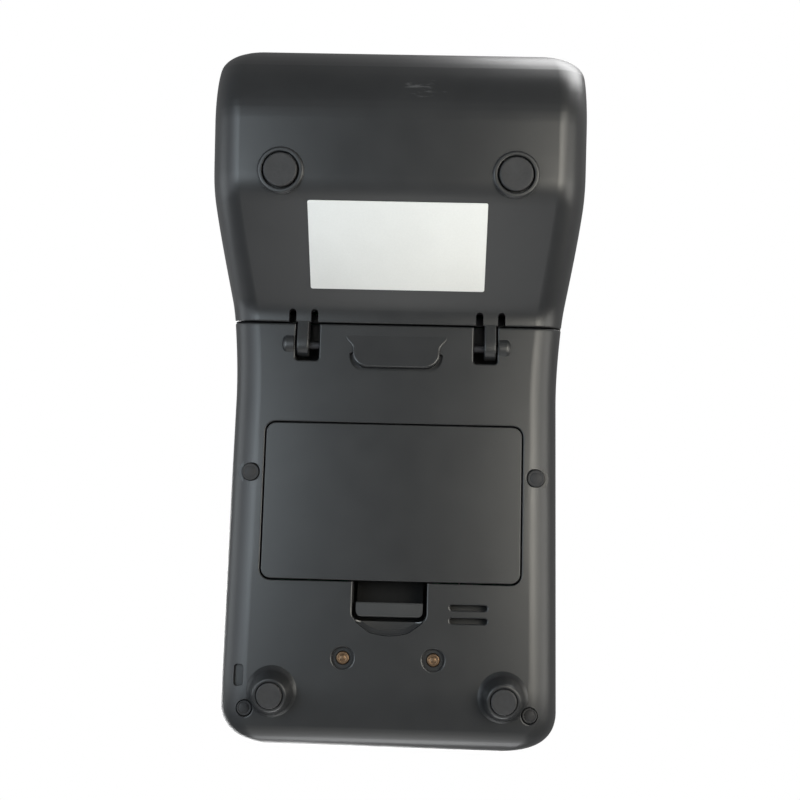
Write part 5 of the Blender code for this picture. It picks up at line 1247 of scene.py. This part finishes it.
# Keys: a flange under the casing, a rounded cap with a shallow dish, and a printed legend
keyForm = {
    "flange": 0.8,
    "proud": 1.0,
    "round": 0.5,
    "dish": 0.22,
    "legend": 4.0,
    "legendProud": 0.02,
    "signs": {"cancel": "X", "clear": "<", "enter": "O", "star": "*", "hash": "#"},
}


def dishHeight(x, s):
    # the cap's top: full height at its rim, lower by the dish's depth in the middle, parabolas both ways
    width, length, _ = frontForm["keySize"]
    bowl = (1 - np.clip(x / (width / 2), -1, 1) ** 2) * (1 - np.clip(s / (length / 2), -1, 1) ** 2)
    return top + keyForm["proud"] - keyForm["dish"] * bowl


def keyCap(name, middle):
    width, length, corner = frontForm["keySize"]
    flange, bend, high = keyForm["flange"], keyForm["round"], top + keyForm["proud"]
    levels = [(flangeLow, flange), (flangeTop, flange), (flangeTop, 0.0), (high - bend, 0.0)]
    levels += rimLevels(high, bend, 6)
    rings = stack(lambda grow: roundedOutline(width, length, corner, (0, 0), grow, 8), levels)
    rim = rings[-1]
    inner = []
    for share in (0.9, 0.75, 0.55, 0.35, 0.15, 0.01):
        ring = rim.copy()
        ring[:, :2] *= share
        ring[:, 2] = dishHeight(ring[:, 0], ring[:, 1])
        inner.append(ring)
    rim[:, 2] = dishHeight(rim[:, 0], rim[:, 1])
    rings = np.concatenate([rings, np.array(inner)])
    rings[:, :, 0] += middle[0]
    rings[:, :, 1] += middle[1]
    return slabSkin(name, rings, 40)


def flatText(words, size):
    # letters as flat mesh points and faces, in millimetres, centred on the origin
    curve = bpy.data.curves.new("letters", "FONT")
    curve.body, curve.size = words, size
    curve.align_x, curve.align_y = "CENTER", "CENTER"
    curve.resolution_u = 3
    made = newObject("letters", curve)
    data = evaluated(made)
    points = np.empty(len(data.vertices) * 3)
    data.vertices.foreach_get("co", points)
    faces = [list(face.vertices) for face in data.polygons]
    bpy.data.objects.remove(made)
    bpy.data.meshes.remove(data)
    points = points.reshape(-1, 3)
    points[:, :2] -= (points[:, :2].min(axis=0) + points[:, :2].max(axis=0)) / 2
    return points, faces


def legend(name, middle):
    points, faces = flatText(keyForm["signs"].get(name, name), keyForm["legend"])
    height = dishHeight(points[:, 0], points[:, 1]) + keyForm["legendProud"]
    placed = np.column_stack([points[:, 0] + middle[0], points[:, 1] + middle[1], height])
    return meshObject("legend", slabPoints(placed), faces, 0)


def withExtra(base, extra, material):
    # the extra mesh joins the base as its second material
    work = bmesh.new()
    work.from_mesh(base.data)
    own = len(work.faces)
    work.from_mesh(extra.data)
    work.faces.ensure_lookup_table()
    for face in work.faces[own:]:
        face.material_index = 1
    work.to_mesh(base.data)
    work.free()
    bpy.data.objects.remove(extra)
    base.data.materials.append(material)
    return base


keyFinishes = {
    "plain": moulded("key grey", (0.30, 0.305, 0.31), (0.36, 0.365, 0.37), 0.7),
    "cancel": moulded("key red", (0.42, 0.02, 0.02), (0.5, 0.03, 0.028), 0.6),
    "clear": moulded("key yellow", (0.62, 0.38, 0.02), (0.7, 0.45, 0.03), 0.6),
    "enter": moulded("key green", (0.02, 0.24, 0.06), (0.03, 0.3, 0.08), 0.6),
}
inkDark = paper("dark ink", (0.02, 0.02, 0.022))
inkWhite = paper("white ink", (0.8, 0.8, 0.8))
for row, names in enumerate(keyNames):
    for column, name in enumerate(names):
        middle = keyMiddle(row, column)
        cap = keyCap("cap", middle)
        cap.data.materials.append(keyFinishes.get(name, keyFinishes["plain"]))
        cap = withExtra(cap, legend(name, middle), inkWhite if name in keyFinishes else inkDark)
        finished("cap_" + name, cap, "button_" + name, "key_" + name)
print("keys made")


# Display lens: a dark window with a rounded rim and a printed border round the screen
lensForm = {"rim": 0.3, "screen": (46.0, 30.0), "screenShift": 0.6}


def lensPlate():
    rim, low = lensForm["rim"], top - frontForm["lensThickness"]
    levels = [(low, 0.0), (top - rim, 0.0)] + rimLevels(top, rim, 5)
    return slabSkin("lens", stack(spanOutline(*frontForm["lens"], steps=14), levels), 40)


def lensGlass():
    # near-black gloss; inside the screen's rectangle a grey-green panel with fine rows of cells
    net = Net("display window")
    x, s, _ = net.axis(net.slabPlace())
    low, high = frontForm["lens"][1:3]
    middle = (low + high) / 2 + lensForm["screenShift"]
    halfX, halfS = lensForm["screen"][0] / 2 * mm, lensForm["screen"][1] / 2 * mm
    inside = (x.absolute() < halfX) * ((s - middle * mm).absolute() < halfS)
    cells = net.noise(5200, 1, 0.4)
    cloud = net.noise(60, 2, 0.5)
    border = net.mix(cloud, (0.006, 0.006, 0.007), (0.010, 0.010, 0.011))
    panel = net.mix(cells * 0.5 + cloud * 0.5, (0.030, 0.036, 0.034), (0.044, 0.052, 0.048))
    smear = net.noise(45, 4, 0.6)
    return net.finish(net.mix(inside, border, panel), 0.06 + 0.12 * smear, None, None, 0.5 + 0.3 * smear)


finished("lensWindow", lensPlate(), "terminal", "display_lens", lensGlass())


# The pieces that keep their CAD shape get finishes only
def board(name):
    # green solder mask over faint square-running traces, with tinned pads
    net = Net(name)
    cloud = net.noise(300, 0, 0.5)
    tracks = net.node(
        "ShaderNodeTexBrick",
        {"offset": 0.37, "squash": 0.6},
        {"Vector": net.slabPlace(), "Scale": 160.0, "Mortar Size": 0.03, "Mortar Smooth": 0.1},
        "Fac",
    )
    values = {"Vector": net.slabPlace(), "Scale": 330.0}
    pads = net.node("ShaderNodeTexVoronoi", {"feature": "F1"}, values, "Distance") < 0.16
    mask = net.mix(cloud.clamped(0.3, 0.7), (0.012, 0.10, 0.045), (0.018, 0.14, 0.06))
    traced = net.mix(tracks * 0.6, mask, (0.05, 0.24, 0.10))
    tone = net.mix(pads, traced, (0.55, 0.55, 0.52))
    return net.finish(tone, 0.42 - 0.14 * pads, pads * 0.9, net.bump(tracks * 0.5 + pads * 0.5, 0.2, 0.00005))


def woundPaper():
    # receipt paper; on the ends of the roll its turns show as fine circles about the core
    net = Net("wound paper")
    y, z, _ = frontForm["roll"]
    px, py, pz = net.axis()
    along, up = py - y * mm, pz - z * mm
    far = (along * along + up * up).power(0.5)
    wobble = net.noise(140, 2, 0.5)
    turns = (far * 31000.0 + wobble * 5.0).maths("SINE") * 0.5 + 0.5
    onEnd = px.absolute() > 28.4 * mm
    fibre = net.noise(2400, 3, 0.6)
    plain = net.mix(fibre, (0.76, 0.76, 0.74), (0.84, 0.84, 0.82))
    edge = net.mix(turns, (0.60, 0.60, 0.575), (0.80, 0.80, 0.775))
    depth = onEnd * turns + fibre * 0.1
    return net.finish(net.mix(onEnd, plain, edge), 0.6 + 0.15 * fibre, None, net.bump(depth, 0.25, 0.00003))


nylon = moulded("white nylon", (0.55, 0.55, 0.51), (0.66, 0.66, 0.61), 0.6)
bracketSteel = metal("bracket steel", (0.55, 0.55, 0.57), 0.36, (60.0, 800.0, 800.0))
darkPin = metal("blackened pin", (0.06, 0.06, 0.065), 0.42)
headCeramic = moulded("print head ceramic", (0.30, 0.24, 0.17), (0.42, 0.36, 0.27), 0.5, 0.1)
batteryWrap = moulded("battery wrap", (0.012, 0.013, 0.016), (0.022, 0.023, 0.027), 0.5, 0.08)
silicone = moulded("keypad silicone", (0.20, 0.20, 0.205), (0.26, 0.26, 0.265), 0.5)

keptFinishes = (
    (darkPin, "hinge_pin_right", "hinge_pin_left"),
    (steel, "side_screw_right", "side_screw_left", "corner_screw_right", "corner_screw_left"),
    (steel, "stepper_motor", "platen_shaft"),
    (batteryWrap, "battery_pack"),
    (speakerCloth, "speaker"),
    (blackPlastic, "display_module", "card_reader", "paper_bucket"),
    (woundPaper(), "paper_roll"),
    (bracketSteel, "printer_frame", "tear_bar"),
    (headCeramic, "print_head"),
    (gilt, "motor_pinion"),
    (nylon, "idler_gear", "platen_gear", "platen_bushing_left", "platen_bushing_right"),
    (rollerRubber, "platen_roller"),
    (silicone, "keypad_mat"),
    (board("solder mask"), "keypad_board", "main_board", "antenna_loop"),
)
for material, *nodes in keptFinishes:
    for node in nodes:
        for slot in bpy.data.objects[node].material_slots:
            slot.material = material
print("kept pieces finished")


# Camera: it looks up from below the table, a few degrees off the upright; focal counts pixels of an
# 800-pixel picture, and the angles are in degrees
view = {
    "aim": (-1.477, -1.303, 0.0),
    "distance": 285.2,
    "focal": 1386.1,
    "pan": 1.32,
    "pitch": 0.615,
    "roll": 1.306,
}


def makeCamera():
    data = bpy.data.cameras.new("camera")
    made = newObject("camera", data)
    pan, pitch, roll = (math.radians(view[key]) for key in ("pan", "pitch", "roll"))
    right = Vector((-math.cos(pan), 0, math.sin(pan)))
    ahead, up = Vector((math.sin(pan), 0, math.cos(pan))), Vector((0, 1, 0))
    up, ahead = up * math.cos(pitch) + ahead * math.sin(pitch), ahead * math.cos(pitch) - up * math.sin(pitch)
    right, up = right * math.cos(roll) + up * math.sin(roll), up * math.cos(roll) - right * math.sin(roll)
    place = Vector(view["aim"]) - ahead * view["distance"]
    made.matrix_world = Matrix.Translation(place * mm) @ Matrix((right, up, -ahead)).transposed().to_4x4()
    data.sensor_width = 36
    data.lens = view["focal"] / 800 * 36
    data.clip_start = 0.01
    scene.camera = made


def lamp(name, place, aim, energy, size, colour):
    # a square soft box at place, turned towards aim; metres
    data = bpy.data.lights.new(name, "AREA")
    data.energy, data.size, data.color = energy, size, colour
    made = newObject(name, data)
    made.location = place
    made.rotation_euler = (Vector(aim) - Vector(place)).to_track_quat("-Z", "Y").to_euler()
    made.visible_camera = False


lamps = {
    "leftNear": ((0.16, 0.04, -0.20), 0.21, 0.12, (0.82, 0.93, 1.0)),
    "rightNear": ((-0.16, 0.04, -0.20), 0.32, 0.12, (1.0, 0.96, 0.85)),
    "leftWindow": ((0.40, 0.10, -0.38), 0.9, 0.40, (0.82, 0.92, 1.0)),
    "leftLow": ((0.45, 0.0, -0.15), 0.42, 0.30, (0.86, 0.93, 1.0)),
    "leftRim": ((0.53, 0.0, 0.18), 0.42, 0.30, (0.9, 0.96, 1.0)),
    "rightRim": ((-0.55, 0.0, 0.0), 0.85, 0.30, (1.0, 0.98, 0.92)),
    "rightWindow": ((-0.42, 0.10, -0.32), 1.5, 0.35, (1.0, 0.97, 0.88)),
    "lowEnd": ((0.0, -0.55, 0.02), 1.2, 0.30, (0.98, 0.99, 1.0)),
    "lowWindow": ((0.0, -0.42, -0.28), 0.5, 0.35, (1.0, 1.0, 0.97)),
    "farSide": ((0.0, 0.25, -0.25), 0.02, 0.20, (1.0, 1.0, 1.0)),
    "above": ((0.3, -0.5, 0.8), 12.0, 0.7, (1.0, 1.0, 1.0)),
    "behind": ((-0.4, 0.7, 0.6), 6.0, 0.6, (1.0, 1.0, 1.0)),
}
for name, (place, energy, size, colour) in lamps.items():
    lamp(name, place, (0, 0, 0.025), energy, size, colour)


def makeFloor():
    # a pale sheet at the table's height that only a camera above it sees
    corners = [(x, y, 0.0) for y in (-900, 900) for x in (-900, 900)]
    floor = meshObject("floor", corners, [[0, 1, 3, 2]], 0)
    if floor.data.polygons[0].normal.z < 0:
        floor.data.flip_normals()
    net = Net("pale floor")
    grain = net.noise(90, 3, 0.6)
    net.finish(net.mix(grain, (0.78, 0.78, 0.78), (0.82, 0.82, 0.82)), 0.7 + 0.1 * grain)
    seen = net.node("ShaderNodeLightPath", {}, {}, "Is Camera Ray")
    below = net.node("ShaderNodeNewGeometry", {}, {}, "Backfacing")
    clear = net.node("ShaderNodeBsdfTransparent", {})
    solid = Wire(net, net.shader.outputs[0])
    mixed = net.node("ShaderNodeMixShader", {}, {0: seen * (1 - below), 1: clear, 2: solid})
    net.feed(net.tree.nodes["Material Output"].inputs[0], mixed)
    floor.data.materials.append(net.material)
    floor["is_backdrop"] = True


def makeWorld():
    # white where the camera looks at it, also through glass; soft grey light otherwise
    scene.world = bpy.data.worlds.new("studio")
    net = Net("studio", scene.world)
    seen = net.node("ShaderNodeLightPath", {}, {}, "Is Camera Ray")
    through = Wire(net, seen.socket.node.outputs["Is Transmission Ray"])
    values = {"Value": seen.maths("MAXIMUM", through), "To Min": 0.22, "To Max": 1.0}
    net.feed(net.shader.inputs["Strength"], net.node("ShaderNodeMapRange", {}, values))
    net.feed(net.shader.inputs["Color"], (1, 1, 1, 1))


makeCamera()
makeFloor()
makeWorld()
print("camera, lamps and floor made")

size = {"cad": [list(corner) for corner in cadBox], "dressed": [list(corner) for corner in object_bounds()]}
